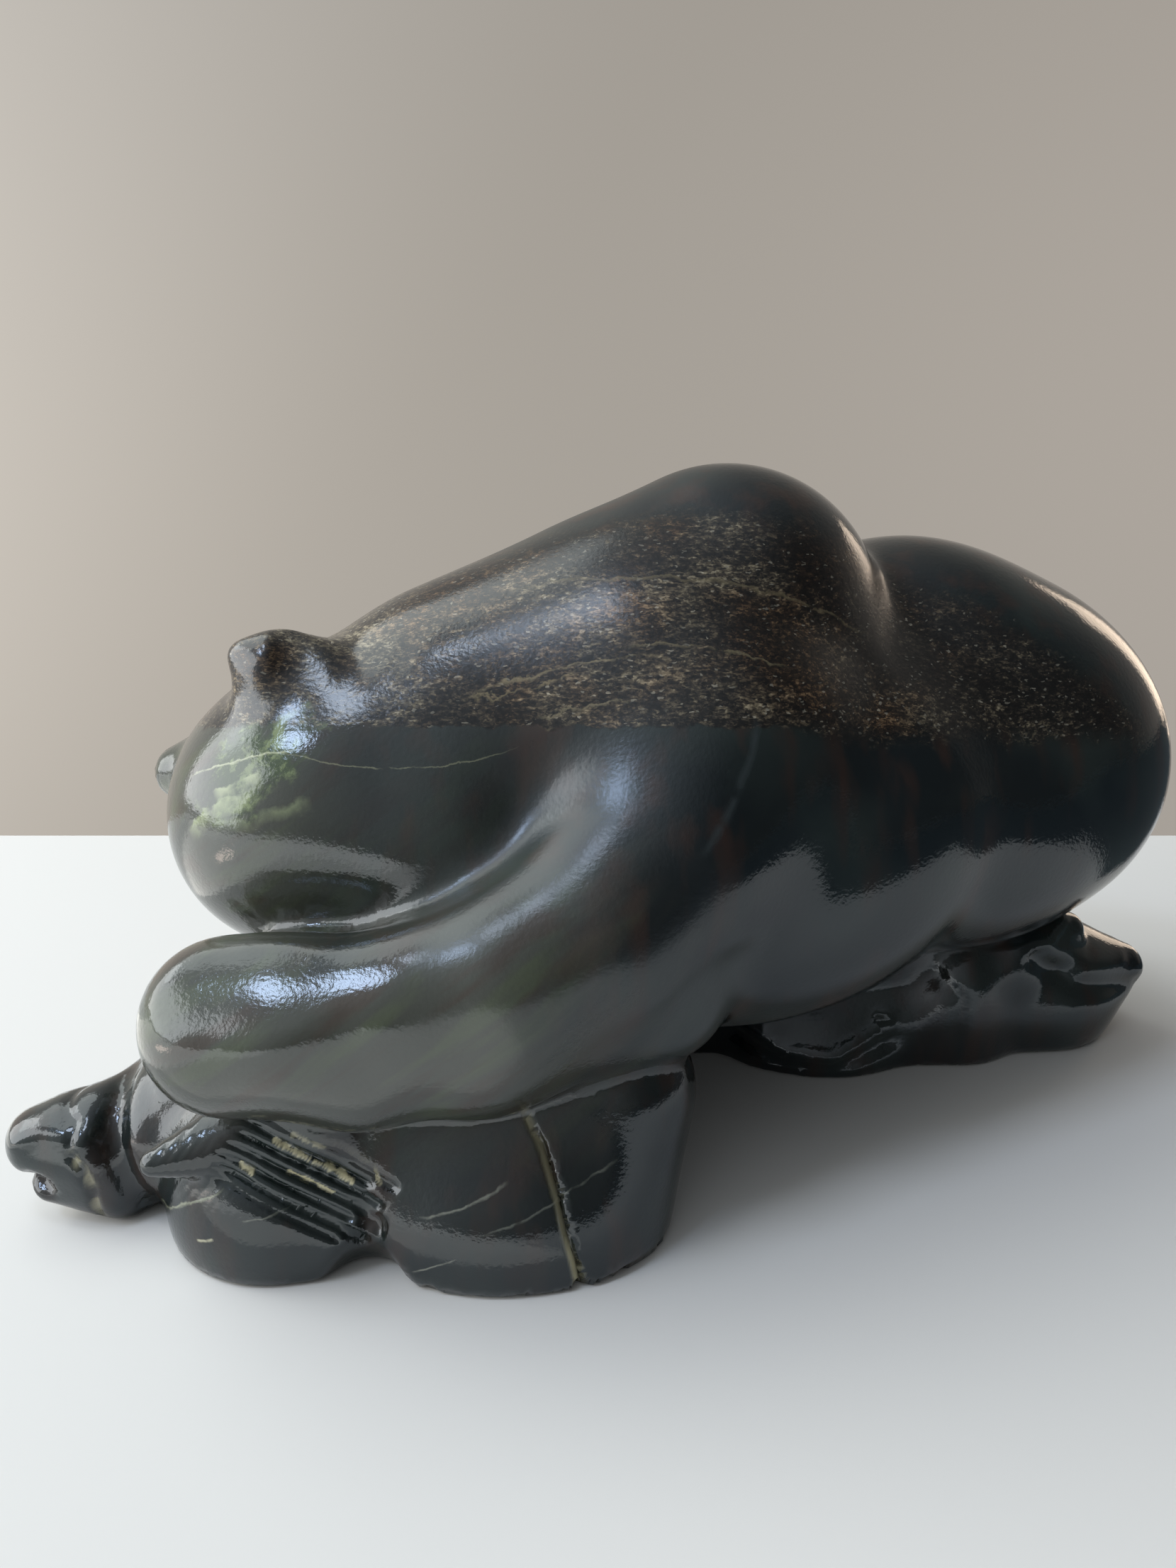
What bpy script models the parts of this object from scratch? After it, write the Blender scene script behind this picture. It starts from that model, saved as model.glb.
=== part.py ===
"""Carved stone bear lying over its catch: one closed solid, made from named masses.

The form is a signed field. Every mass is an egg, a tapered limb or a rounded slab, placed in
hundredths of the overall length, and the masses are blended, carved or engraved with a stated
softness. The field's zero surface is grown on a grid, remeshed, refined where the carving is
fine, thinned, and cut flat at the table.

Axes: +X towards the rump, -X towards the head, -Y the side that is seen first, +Z up, Z = 0 the table.
"""
import math

import bmesh
import bpy
import numpy as np

# Driving dimensions, metres
LENGTH = 0.280
U = LENGTH / 100.0

# Everything below is in hundredths of the length
CENTRE = (0.978, -1.2545)
REACH = ((-51.0, 52.5), (-33.0, 31.0), (-3.0, 58.0))
GRID = 0.95
VOXEL = 0.85
FACES = 9000

HEAD_CENTRE = (-25.4, -8.2, 29.0)
HEAD_RADII = (12.0, 11.0, 10.6)
HEAD_AHEAD = (-0.10, 0.985, -0.12)
HEAD_CROWN = (-0.68, 0.02, 0.73)
# In the head's own axes: ahead, right, crown
MUZZLE = (((3.0, 0.0, -1.6), 8.0), ((13.0, 0.0, -3.2), 5.6), ((18.4, 0.0, -3.4), 4.5))
NOSE = ((22.2, 0.0, -1.6), (1.8, 2.6, 1.8))
NOSTRIL = ((24.0, 1.2, -1.7), (0.9, 0.6, 0.7))
SOCKET = ((13.4, 5.6, 2.6), (2.6, 2.2, 1.6))
EYE = ((10.9, 4.7, 2.4), (1.3, 1.3, 1.1))
MOUTH_HEIGHT = -6.2
MOUTH_SLOPE = 0.1
MOUTH_WIDTH = 0.6
MOUTH_DEPTH = 0.9
MOUTH_MIDDLE = 17.0
# Where the face begins and ends, each with the width over which it fades
FACE_FROM = (11.5, 4.0)
FACE_TO = (26.0, 1.0)
FACE_SIDE = (7.0, 2.0)
FACE_TOP = (9.0, 1.0)

TRUNK = (
    # name, centre, radii, turn in degrees, softness of the blend
    ("shoulders", (1.0, -4.0, 29.5), (16.0, 15.5, 17.5), (0, 0, 0), 0.0),
    ("hump", (6.4, 1.0, 41.0), (12.2, 10.0, 12.6), (0, 10, 0), 6.0),
    ("waist", (11.8, 1.2, 27.3), (19.0, 18.0, 15.4), (0, 0, 0), 4.0),
    ("rump", (26.2, 9.0, 29.0), (20.9, 16.5, 17.2), (0, 12, 0), 4.5),
    ("loin", (22.6, 8.0, 34.3), (14.6, 12.0, 13.5), (0, 6, 0), 2.0),
    ("flank", (8.0, -5.0, 21.0), (14.0, 12.5, 10.0), (0, -10, 0), 5.0),
    ("thigh", (25.6, 2.5, 24.2), (11.8, 11.3, 10.2), (0, 12, 0), 4.0),
    ("far thigh", (25.0, 17.0, 18.0), (14.5, 9.5, 14.5), (0, 0, 0), 2.5),
    ("chest", (-9.0, -1.0, 15.0), (17.0, 12.5, 9.0), (0, 0, 0), 2.0),
    ("cheek", (-16.0, -10.5, 28.0), (10.5, 10.8, 9.0), (0, 0, 0), 2.5),
    ("belly", (13.0, 11.5, 10.0), (25.0, 8.5, 12.0), (0, 0, 0), 1.5),
)
WITHERS = (((6.0, 1.0, 41.0), 11.3), ((-14.0, -4.0, 35.2), 9.6))
NECK = (((-2.0, -2.0, 35.0), 14.3), ((-20.0, -7.5, 30.9), 11.3))
NEAR_FORELEG = (
    ((5.0, -8.0, 33.0), 10.8), ((0.5, -14.5, 27.5), 8.6), ((-4.5, -19.8, 23.8), 6.8),
    ((-10.5, -23.6, 22.0), 5.2), ((-17.0, -25.0, 20.9), 4.3), ((-24.0, -25.0, 19.8), 4.9),
    ((-28.4, -24.2, 19.1), 5.7))
FOREARM_UNDERSIDE = (
    ((-0.5, -16.5, 18.8), 6.5), ((-12.0, -22.0, 17.8), 5.6), ((-20.0, -23.3, 17.2), 5.2),
    ((-28.0, -23.5, 17.8), 5.0))
FAR_FORELEG = (((3.0, 8.0, 32.0), 10.5), ((6.5, 16.5, 15.0), 7.8), ((-8.0, 19.0, 7.0), 5.8))
# centre, radii, gap between the toes' grooves, how far ahead the toes begin
FAR_PAW = ((-14.5, 19.0, 3.6), (7.6, 6.0, 5.4), 2.5, 2.5)
FAR_HIND_LEG = (((31.0, 21.5, 5.2), 6.0), ((20.0, 22.8, 4.0), 5.0))
FAR_HIND_PAW = ((15.0, 23.0, 2.6), (6.0, 5.2, 4.6), 2.2, 1.5)
TOE_WIDTH = 0.55
TOE_DEPTH = 0.8
TOE_REACH = 8.5
TAIL = (((42.0, 15.5, 32.5), 4.0), ((45.8, 17.6, 28.8), 2.6))
NEAR_EAR = (((-24.0, -10.6, 36.3), 4.4), ((-24.4, -11.4, 39.6), 2.1), ((-26.4, -11.8, 40.3), 2.6))
NEAR_EAR_TIP = (((-26.6, -11.9, 40.3), 2.3), ((-28.6, -12.2, 41.2), 0.6), ((-26.9, -12.6, 37.4), 1.8))
NEAR_EAR_HOLLOW = ((-28.8, -9.6, 41.0), (2.4, 1.9, 3.0), (0, -25, 0))
FAR_EAR = (((-31.8, -5.0, 31.2), 4.0), ((-36.6, -4.6, 30.6), 2.2))
FAR_EAR_HOLLOW = ((-37.6, -1.9, 31.0), (2.0, 2.0, 2.2))

# The base under the rump
REAR_BLOCK = ((21.5, 12.5, 1.0), (13.5, 10.2, 7.0), 4.5, (0, 0, 2))
MIDDLE_BLOCK = ((2.0, 11.0, 0.0), (14.0, 6.6, 9.0), 3.5, (0, 0, 4))
LEDGE = ((17.5, 8.2, 0.5), (9.4, 8.0, 6.0))
HEEL = ((29.8, 8.8, 5.5), (5.2, 7.0, 8.0))
REAR_FOOT = (((30.0, 12.0, 4.0), 9.2), ((39.4, 12.2, 3.6), 7.4), ((47.2, 11.4, 5.9), 2.6))
FOOT_FOLD = (((34.0, 7.5, 8.6), 4.0), ((40.6, 8.8, 11.0), 1.8))
REAR_TOES_FROM = (42.0, 6.0)
REAR_TOES = (13.2, 14.8, 16.4)
REAR_TOE_WIDTH = 0.45
REAR_TOE_DEPTH = 0.5

# The catch under the near foreleg and the block that it lies in
FRONT_BLOCK = ((-12.1, -6.0, 2.4), (14.2, 19.0, 12.4), 6.5, (-10, 12, -2))
FRONT_SWELLS = (
    # centre, radii, softness of the blend
    ((-27.0, -16.7, 2.6), (9.3, 10.3, 11.0), 2.5),
    ((-11.0, -17.5, 2.0), (9.5, 10.6, 8.0), 1.5),
    ((-21.5, 0.0, 2.6), (13.0, 12.5, 9.6), 3.0),
)
FISH_BODY = (((-29.0, -12.5, 7.0), 8.2), ((-36.8, -15.0, 5.2), 5.7))
FISH_HEAD = (((-40.9, -16.6, 4.8), 4.6), ((-45.3, -17.7, 5.7), 2.6))
FISH_JAW = (((-39.5, -17.4, 2.8), 3.4), ((-44.4, -18.7, 2.9), 1.5))
FIN = (((-24.0, -20.5, 9.6), 4.6), ((-34.2, -25.0, 8.8), 0.9))
NOTCH = ((-19.8, -26.6, -3.0), (-20.0, -26.8, 4.0), 4.0, 0.6)
DIMPLE = ((-17.2, -29.8, 8.2), (3.0, 3.4, 4.8))
NEAR_FACE = 17.0
RAY_PATCH = ((-23.6, 9.4), (5.8, 3.6))
RAY_ACROSS = (0.48, 0.88)
RAY_PITCH = 1.5
RAY_DEPTH = 1.1
# Lines along X and Z
GROOVE = ((-8.0, 14.2), (-7.0, 10.6), (-6.4, 7.2), (-5.3, 0.0))
GROOVE_WIDTH = 0.6
GROOVE_DEPTH = 0.9
GAPE = ((-48.5, 3.9), (-44.6, 3.7), (-41.8, 2.6))
GAPE_WIDTH = 0.5
GAPE_DEPTH = 0.7
GAPE_FROM = (40.8, 1.0)

# Where the mesh is kept finer: the fin's rays, the face, the catch's mouth
FINE_BALLS = (((-24.0, -25.0, 9.0), 8.5), ((-24.7, 8.5, 26.8), 11.0), ((-44.5, -19.0, 4.0), 5.0))
BURIED = 1.6


def unit(vector):
    """Return the vector scaled to length one."""
    array = np.asarray(vector, float)
    return array / np.linalg.norm(array)


AHEAD = unit(HEAD_AHEAD)
RIGHT = unit(np.cross(AHEAD, HEAD_CROWN))
CROWN = np.cross(RIGHT, AHEAD)
HEAD_AXES = np.stack([AHEAD, RIGHT, CROWN], axis=1)


def turned(turn):
    """Return the rotation for three angles in degrees, about X, then Y, then Z."""
    rotation = np.eye(3)
    for axis, angle in enumerate(turn):
        c, s = math.cos(math.radians(angle)), math.sin(math.radians(angle))
        one, two = (axis + 1) % 3, (axis + 2) % 3
        step = np.eye(3)
        step[one, one], step[one, two], step[two, one], step[two, two] = c, -s, s, c
        rotation = step @ rotation
    return rotation


def egg(p, centre, radii, axes=None):
    """Distance to an ellipsoid, close to true near its surface."""
    q = p - np.array(centre, float)
    if axes is not None:
        q = q @ axes
    r = np.array(radii, float)
    near = np.linalg.norm(q / r, axis=1)
    slope = np.linalg.norm(q / (r * r), axis=1)
    return near * (near - 1.0) / np.maximum(slope, 1e-9)


def taper(p, start, end, r0, r1):
    """Distance to a round limb that tapers from r0 to r1."""
    a = np.array(start, float)
    along = np.array(end, float) - a
    length = np.linalg.norm(along)
    t = (p - a) @ along / length**2
    side = np.linalg.norm(p - a - np.outer(t, along), axis=1)
    slope = np.clip((r0 - r1) / length, -0.95, 0.95)
    t = np.clip(t - side * slope / math.sqrt(1 - slope * slope) / length, 0, 1)
    return np.linalg.norm(p - a - np.outer(t, along), axis=1) - (r0 + (r1 - r0) * t)


def slab(p, centre, half, edge, axes):
    """Distance to a box with rounded edges."""
    q = np.abs((p - np.array(centre, float)) @ axes) - (np.array(half, float) - edge)
    return np.linalg.norm(np.maximum(q, 0), axis=1) + np.minimum(q.max(axis=1), 0) - edge


def blend(a, b, soft):
    """Join two fields with a fillet of the given softness."""
    h = np.clip(0.5 + 0.5 * (b - a) / soft, 0, 1)
    return b + (a - b) * h - soft * h * (1 - h)


def carve(a, tool, soft):
    """Take a tool's field out of a body, rounding the lip."""
    return -blend(-a, tool, soft)


def limb(p, joints, soft=3.0):
    """Blend the tapers between a row of joints."""
    field = None
    for (a, ra), (b, rb) in zip(joints[:-1], joints[1:]):
        piece = taper(p, a, b, ra, rb)
        field = piece if field is None else blend(field, piece, soft)
    return field


def dent(distance, width):
    """A soft dent: 1 on the line, fading over the given width."""
    return np.exp(-((distance / width) ** 2))


def fade(value, edge, width):
    """Go smoothly from 0 below the edge to 1 above it."""
    t = np.clip((value - edge) / width + 0.5, 0, 1)
    return t * t * (3 - 2 * t)


def track(p, axes, points):
    """Distance to a bent line, seen along the axis that is left out."""
    flat = p[:, axes]
    best = np.full(len(p), 1e9)
    for a, b in zip(points[:-1], points[1:]):
        a = np.array(a, float)
        along = np.array(b, float) - a
        t = np.clip((flat - a) @ along / (along @ along), 0, 1)
        best = np.minimum(best, np.linalg.norm(flat - a - np.outer(t, along), axis=1))
    return best


def trunk(p):
    """The bear's trunk, neck, tail and far limbs."""
    field = None
    for name, centre, radii, turn, soft in TRUNK:
        mass = egg(p, centre, radii, turned(turn))
        field = mass if field is None else blend(field, mass, soft)
        if name == "hump":
            field = blend(field, limb(p, WITHERS), 4.0)
    field = blend(field, limb(p, NECK), 4.0)
    field = blend(field, limb(p, FAR_FORELEG), 2.6)
    field = blend(field, limb(p, FAR_HIND_LEG), 1.6)
    return blend(field, limb(p, TAIL), 1.5)


def paws(p, field):
    """Add the two far paws, with toes parted by grooves."""
    for centre, radii, gap, edge in (FAR_PAW, FAR_HIND_PAW):
        field = blend(field, egg(p, centre, radii), 1.2)
        off = p - np.array(centre)
        front = fade(-off[:, 0], edge, 3.0) * fade(-np.linalg.norm(off, axis=1), -TOE_REACH, 1.5)
        for step in (-1, 0, 1):
            field = field + TOE_DEPTH * front * dent(off[:, 1] - step * gap, TOE_WIDTH)
    return field


def ears(p, field):
    """Add the two ears, each with its hollow."""
    centre, radii, turn = NEAR_EAR_HOLLOW
    near_ear = blend(limb(p, NEAR_EAR), limb(p, NEAR_EAR_TIP), 1.0)
    near_ear = carve(near_ear, egg(p, centre, radii, turned(turn)), 0.8)
    far_ear = carve(limb(p, FAR_EAR), egg(p, *FAR_EAR_HOLLOW), 0.8)
    return blend(blend(field, near_ear, 1.8), far_ear, 1.5)


def head(p, field):
    """Add the head, turned away from the near side, with ears, muzzle, eyes and mouth."""
    field = blend(field, egg(p, HEAD_CENTRE, HEAD_RADII, HEAD_AXES), 3.0)
    q = (p - np.array(HEAD_CENTRE)) @ HEAD_AXES
    field = ears(p, blend(field, limb(q, MUZZLE), 2.5))
    q[:, 1] = np.abs(q[:, 1])
    ahead, right, crown = q.T
    face = fade(ahead, *FACE_FROM) * (1 - fade(ahead, *FACE_TO))
    face = face * (1 - fade(right, *FACE_SIDE)) * (1 - fade(np.abs(crown), *FACE_TOP))
    mouth = crown - MOUTH_HEIGHT - MOUTH_SLOPE * (ahead - MOUTH_MIDDLE)
    field = field + MOUTH_DEPTH * face * dent(mouth, MOUTH_WIDTH)
    field = blend(field, egg(q, *NOSE), 0.7)
    field = carve(field, egg(q, *NOSTRIL), 0.3)
    field = carve(field, egg(q, *SOCKET), 1.8)
    return blend(field, egg(q, *EYE), 0.4)


def fin_rays(p, near):
    """How deep the fin's patch of slanting rays is cut."""
    (x, z), (half_x, half_z) = RAY_PATCH
    x, z = p[:, 0] - x, p[:, 2] - z
    patch = np.exp(-((x / half_x) ** 4) - ((z / half_z) ** 4))
    across = RAY_ACROSS[0] * x + RAY_ACROSS[1] * z
    return RAY_DEPTH * near * patch * (0.75 + 0.25 * np.cos(2 * math.pi * across / RAY_PITCH))


def catch(p):
    """The catch under the near foreleg: head at the left, fin, and the block it lies in."""
    centre, half, edge, turn = FRONT_BLOCK
    field = slab(p, centre, half, edge, turned(turn))
    for centre, radii, soft in FRONT_SWELLS:
        field = blend(field, egg(p, centre, radii), soft)
    field = blend(field, limb(p, FISH_BODY), 1.5)
    field = blend(field, blend(limb(p, FISH_HEAD), limb(p, FISH_JAW), 0.8), 1.0)
    field = blend(field, limb(p, FIN), 0.8)
    field = carve(field, taper(p, *NOTCH), 1.2)
    near = fade(-p[:, 1], NEAR_FACE, 4.0)
    field = carve(field + fin_rays(p, near), egg(p, *DIMPLE), 1.2)
    field = field + GROOVE_DEPTH * near * dent(track(p, [0, 2], GROOVE), GROOVE_WIDTH)
    left = fade(-p[:, 0], *GAPE_FROM)
    return field + GAPE_DEPTH * left * dent(track(p, [0, 2], GAPE), GAPE_WIDTH)


def rear_base(p):
    """The low base under the rump, with a crescent ledge, a heel and a pointed foot."""
    centre, half, edge, turn = REAR_BLOCK
    field = slab(p, centre, half, edge, turned(turn))
    field = blend(field, egg(p, *LEDGE), 1.5)
    field = blend(field, egg(p, *HEEL), 1.5)
    field = blend(field, limb(p, REAR_FOOT, 2.0), 1.5)
    field = blend(field, limb(p, FOOT_FOLD), 1.4)
    centre, half, edge, turn = MIDDLE_BLOCK
    field = blend(field, slab(p, centre, half, edge, turned(turn)), 2.0)
    toes = fade(p[:, 0], REAR_TOES_FROM[0], 3.0) * fade(p[:, 2], REAR_TOES_FROM[1], 2.0)
    for middle in REAR_TOES:
        field = field + REAR_TOE_DEPTH * toes * dent(p[:, 1] - middle, REAR_TOE_WIDTH)
    return field


def near_foreleg(p):
    """The near foreleg: a roll that narrows behind the paw, over a fuller underside."""
    return blend(limb(p, NEAR_FORELEG), limb(p, FOREARM_UNDERSIDE), 2.0)


def carving(p):
    """The whole stone, before it is cut flat below."""
    field = paws(p, head(p, trunk(p)))
    field = blend(field, near_foreleg(p), 2.6)
    field = blend(field, catch(p), 0.9)
    return blend(field, rear_base(p), 1.2)


def capped(p):
    """The stone with its buried part cut off well below the table."""
    return np.maximum(carving(p), -BURIED - p[:, 2])


def settle(p, steps):
    """Draw points onto the stone's surface along the field's gradient."""
    step = 0.04
    for _ in range(steps):
        value = capped(p)
        gradient = np.zeros_like(p)
        for axis in range(3):
            moved = p.copy()
            moved[:, axis] += step
            gradient[:, axis] = (capped(moved) - value) / step
        size = np.maximum((gradient**2).sum(axis=1), 0.25)
        p = p - gradient * np.clip(value / size, -0.5, 0.5)[:, None]
    return p


def grow():
    """Grow a closed quad mesh round the field's zero surface on an even grid."""
    lines = [np.arange(low, high, GRID) for low, high in REACH]
    shape = tuple(len(line) for line in lines)
    points = np.stack(np.meshgrid(*lines, indexing="ij"), axis=-1).reshape(-1, 3)
    values = np.concatenate([capped(part) for part in np.array_split(points, 8)])
    inside = (values < 0).reshape(shape)
    count = sum(
        inside[i:shape[0] - 1 + i, j:shape[1] - 1 + j, k:shape[2] - 1 + k].astype(int)
        for i in (0, 1) for j in (0, 1) for k in (0, 1))
    mixed = (count > 0) & (count < 8)
    label = np.full(mixed.shape, -1)
    label[mixed] = np.arange(mixed.sum())
    cells = np.argwhere(mixed)
    lows = np.array([low for low, high in REACH])
    corners = settle(lows + (cells + 0.5) * GRID, 3)
    faces = []
    for axis in range(3):
        one, two = (axis + 1) % 3, (axis + 2) % 3
        here = np.moveaxis(inside, (axis, one, two), (0, 1, 2))
        cell = np.moveaxis(label, (axis, one, two), (0, 1, 2))
        change = here[:-1, 1:-1, 1:-1] != here[1:, 1:-1, 1:-1]
        i, j, k = np.nonzero(change)
        ring = np.stack(
            [cell[i, j, k], cell[i, j + 1, k], cell[i, j + 1, k + 1], cell[i, j, k + 1]], axis=1)
        outward = here[i, j + 1, k + 1]
        ring[~outward] = ring[~outward][:, ::-1]
        faces.append(ring)
    data = bpy.data.meshes.new("stone")
    data.from_pydata(corners.tolist(), [], np.concatenate(faces).tolist())
    data.update()
    return data


def evaluated(data, add_modifier):
    """Return a new mesh with one modifier applied to the given one."""
    holder = bpy.data.objects.new("holder", data)
    bpy.context.scene.collection.objects.link(holder)
    add_modifier(holder)
    graph = bpy.context.evaluated_depsgraph_get()
    result = bpy.data.meshes.new_from_object(holder.evaluated_get(graph))
    bpy.data.objects.remove(holder)
    bpy.data.meshes.remove(data)
    return result


def add_remesh(holder):
    """Remesh evenly, which leaves one closed skin."""
    remesh = holder.modifiers.new("even", "REMESH")
    remesh.mode = "VOXEL"
    remesh.voxel_size = VOXEL
    remesh.adaptivity = 0.0


def add_thinning(holder):
    """Thin to about the stated number of triangles, keeping the form."""
    thin = holder.modifiers.new("thin", "DECIMATE")
    thin.ratio = min(1.0, FACES / sum(len(p.vertices) - 2 for p in holder.data.polygons))


def refine(data, zones):
    """Split the faces once more inside each ball-shaped zone."""
    mesh = bmesh.new()
    mesh.from_mesh(data)
    for centre, radius in zones:
        near = [e for e in mesh.edges if all(math.dist(v.co, centre) < radius for v in e.verts)]
        bmesh.ops.subdivide_edges(mesh, edges=near, cuts=1, use_grid_fill=True)
    bmesh.ops.triangulate(mesh, faces=mesh.faces[:])
    mesh.to_mesh(data)
    mesh.free()


def move_onto_stone(data, steps):
    """Move a mesh's vertices onto the stone's surface."""
    points = np.empty(len(data.vertices) * 3)
    data.vertices.foreach_get("co", points)
    data.vertices.foreach_set("co", settle(points.reshape(-1, 3), steps).ravel())
    data.update()


def cut_flat(data):
    """Cut the mesh at the table, cap it, centre it and turn it into metres."""
    mesh = bmesh.new()
    mesh.from_mesh(data)
    geometry = mesh.verts[:] + mesh.edges[:] + mesh.faces[:]
    cut = bmesh.ops.bisect_plane(
        mesh, geom=geometry, dist=1e-4, plane_co=(0, 0, 0), plane_no=(0, 0, 1), clear_inner=True)
    rim = [e for e in cut["geom_cut"] if isinstance(e, bmesh.types.BMEdge)]
    bmesh.ops.triangle_fill(mesh, use_beauty=True, use_dissolve=False, edges=rim, normal=(0, 0, -1))
    bmesh.ops.dissolve_degenerate(mesh, dist=2e-3, edges=mesh.edges[:])
    bmesh.ops.triangulate(mesh, faces=[f for f in mesh.faces if len(f.verts) > 3])
    bmesh.ops.recalc_face_normals(mesh, faces=mesh.faces[:])
    bmesh.ops.translate(mesh, verts=mesh.verts[:], vec=(-CENTRE[0], -CENTRE[1], 0))
    bmesh.ops.scale(mesh, verts=mesh.verts[:], vec=(U, U, U))
    mesh.to_mesh(data)
    mesh.free()


def stone_material():
    """Dark polished green stone."""
    material = bpy.data.materials.new("polished_green_stone")
    material.use_nodes = True
    shader = material.node_tree.nodes["Principled BSDF"]
    shader.inputs["Base Color"].default_value = (0.020, 0.034, 0.028, 1.0)
    shader.inputs["Roughness"].default_value = 0.12
    return material


def build():
    """Make the one solid."""
    for item in list(bpy.data.objects):
        bpy.data.objects.remove(item)
    data = evaluated(grow(), add_remesh)
    move_onto_stone(data, 3)
    refine(data, FINE_BALLS)
    move_onto_stone(data, 3)
    data = evaluated(data, add_thinning)
    cut_flat(data)
    data.name = "bear_carving"
    data.materials.clear()
    data.materials.append(stone_material())
    data.shade_smooth()
    stone = bpy.data.objects.new("bear_carving", data)
    bpy.context.scene.collection.objects.link(stone)


build()
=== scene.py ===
"""Polished nephrite bear lying over its catch: the fine surface, the stone, and a plain studio.

The stone is one piece. Its form is a signed field made of named masses, in hundredths of its
drawn length, with the finer cuts added: fin rays, chisel marks, toes, mouth, ledge rim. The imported
solid is remeshed finely and its skin is then drawn onto that field.
"""

from __future__ import annotations

import logging
import math
from dataclasses import dataclass, field
from enum import Enum

import bmesh
import bpy
import numpy as np
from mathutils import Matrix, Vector

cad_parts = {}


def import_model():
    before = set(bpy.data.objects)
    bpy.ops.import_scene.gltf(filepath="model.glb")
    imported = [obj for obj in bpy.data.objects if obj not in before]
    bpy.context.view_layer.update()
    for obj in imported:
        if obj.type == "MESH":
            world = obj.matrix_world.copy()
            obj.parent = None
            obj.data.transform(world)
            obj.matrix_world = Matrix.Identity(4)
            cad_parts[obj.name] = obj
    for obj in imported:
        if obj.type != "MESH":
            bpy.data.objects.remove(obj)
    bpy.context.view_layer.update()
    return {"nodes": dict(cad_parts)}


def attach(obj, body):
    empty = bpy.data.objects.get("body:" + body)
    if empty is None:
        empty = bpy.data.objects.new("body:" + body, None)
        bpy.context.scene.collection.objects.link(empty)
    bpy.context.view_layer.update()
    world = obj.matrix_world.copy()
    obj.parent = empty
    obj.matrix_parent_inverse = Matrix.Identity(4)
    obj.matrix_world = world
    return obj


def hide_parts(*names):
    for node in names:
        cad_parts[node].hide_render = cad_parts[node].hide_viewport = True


LOG = logging.getLogger("bear")

# The length that the stone was drawn to, a hundredth of it in metres, and where the middle of the
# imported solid's box lies, in those hundredths
LENGTH_MM = 280.0
UNIT = LENGTH_MM / 100_000.0
MIDDLE = (0.978, -1.2545)

Array = np.ndarray
Pair = tuple[float, float]
Spot = tuple[float, float, float]
Socket = bpy.types.NodeSocket


def unit(vector: Spot) -> Array:
    """Return the vector scaled to length one."""
    array = np.asarray(vector, float)
    return array / np.linalg.norm(array)


def turned(turn: Spot) -> Array:
    """Rotation for three angles in degrees.

    Args:
        turn: Angles about X, then Y, then Z.

    Returns:
        The 3 by 3 rotation.
    """
    rotation = np.eye(3)
    for axis, angle in enumerate(turn):
        c, s = math.cos(math.radians(angle)), math.sin(math.radians(angle))
        one, two = (axis + 1) % 3, (axis + 2) % 3
        step = np.eye(3)
        step[one, one], step[one, two], step[two, one], step[two, two] = c, -s, s, c
        rotation = step @ rotation
    return rotation


def blend(a: Array, b: Array, soft: float) -> Array:
    """Join two fields with a fillet of the given softness."""
    h = np.clip(0.5 + 0.5 * (b - a) / soft, 0, 1)
    return b + (a - b) * h - soft * h * (1 - h)


def carve(a: Array, tool: Array, soft: float) -> Array:
    """Take a tool's field out of a body, rounding the lip."""
    return -blend(-a, tool, soft)


def dent(distance: Array, width: float) -> Array:
    """A soft dent: 1 on the line, fading over the given width."""
    return np.exp(-((distance / width) ** 2))


def fade(value: Array, edge: float, width: float) -> Array:
    """Go smoothly from 0 below the edge to 1 above it."""
    t = np.clip((value - edge) / width + 0.5, 0, 1)
    return t * t * (3 - 2 * t)


def track(p: Array, axes: list[int], points: tuple[Pair, ...]) -> Array:
    """Distance to a bent line, seen along the axis that is left out.

    Args:
        p: Points, one a row.
        axes: The two axes that the line lies in.
        points: The line's corners.

    Returns:
        One distance a point.
    """
    flat = p[:, axes]
    best = np.full(len(p), 1e9)
    for start, end in zip(points[:-1], points[1:]):
        a = np.array(start, float)
        along = np.array(end, float) - a
        t = np.clip((flat - a) @ along / (along @ along), 0, 1)
        best = np.minimum(best, np.linalg.norm(flat - a - np.outer(t, along), axis=1))
    return best


def ripple(p: Array, pitch: float, seed: float) -> Array:
    """A smooth, irregular ripple from -1 to 1, as a hand tool leaves.

    Args:
        p: Points, one a row.
        pitch: The usual distance between crests.
        seed: Shifts the pattern.

    Returns:
        One value a point.
    """
    k = 2 * math.pi / pitch
    x, y, z = p.T
    one = np.sin(k * (x + 0.35 * y) + 2.1 * np.sin(0.43 * k * (z - 0.5 * x) + seed))
    two = np.sin(0.81 * k * (z - 0.4 * x) + 1.7 * np.sin(0.57 * k * (x + y) + 2 * seed))
    return 0.5 * (one + two)


def places(data: bpy.types.Mesh) -> Array:
    """A mesh's vertices, one a row."""
    points = np.empty(len(data.vertices) * 3)
    data.vertices.foreach_get("co", points)
    return points.reshape(-1, 3)


class Mass:
    """A body of stone, or a tool's shape, with the softness of the fillet round it."""

    soft: float

    def form(self, p: Array) -> Array:
        """Distance to the surface, below zero inside."""
        raise NotImplementedError

    def onto(self, whole: Array, p: Array) -> Array:
        """The whole with this mass blended onto it."""
        return blend(whole, self.form(p), self.soft)

    def out_of(self, whole: Array, p: Array) -> Array:
        """The whole with this mass carved out of it."""
        return carve(whole, self.form(p), self.soft)


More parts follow.
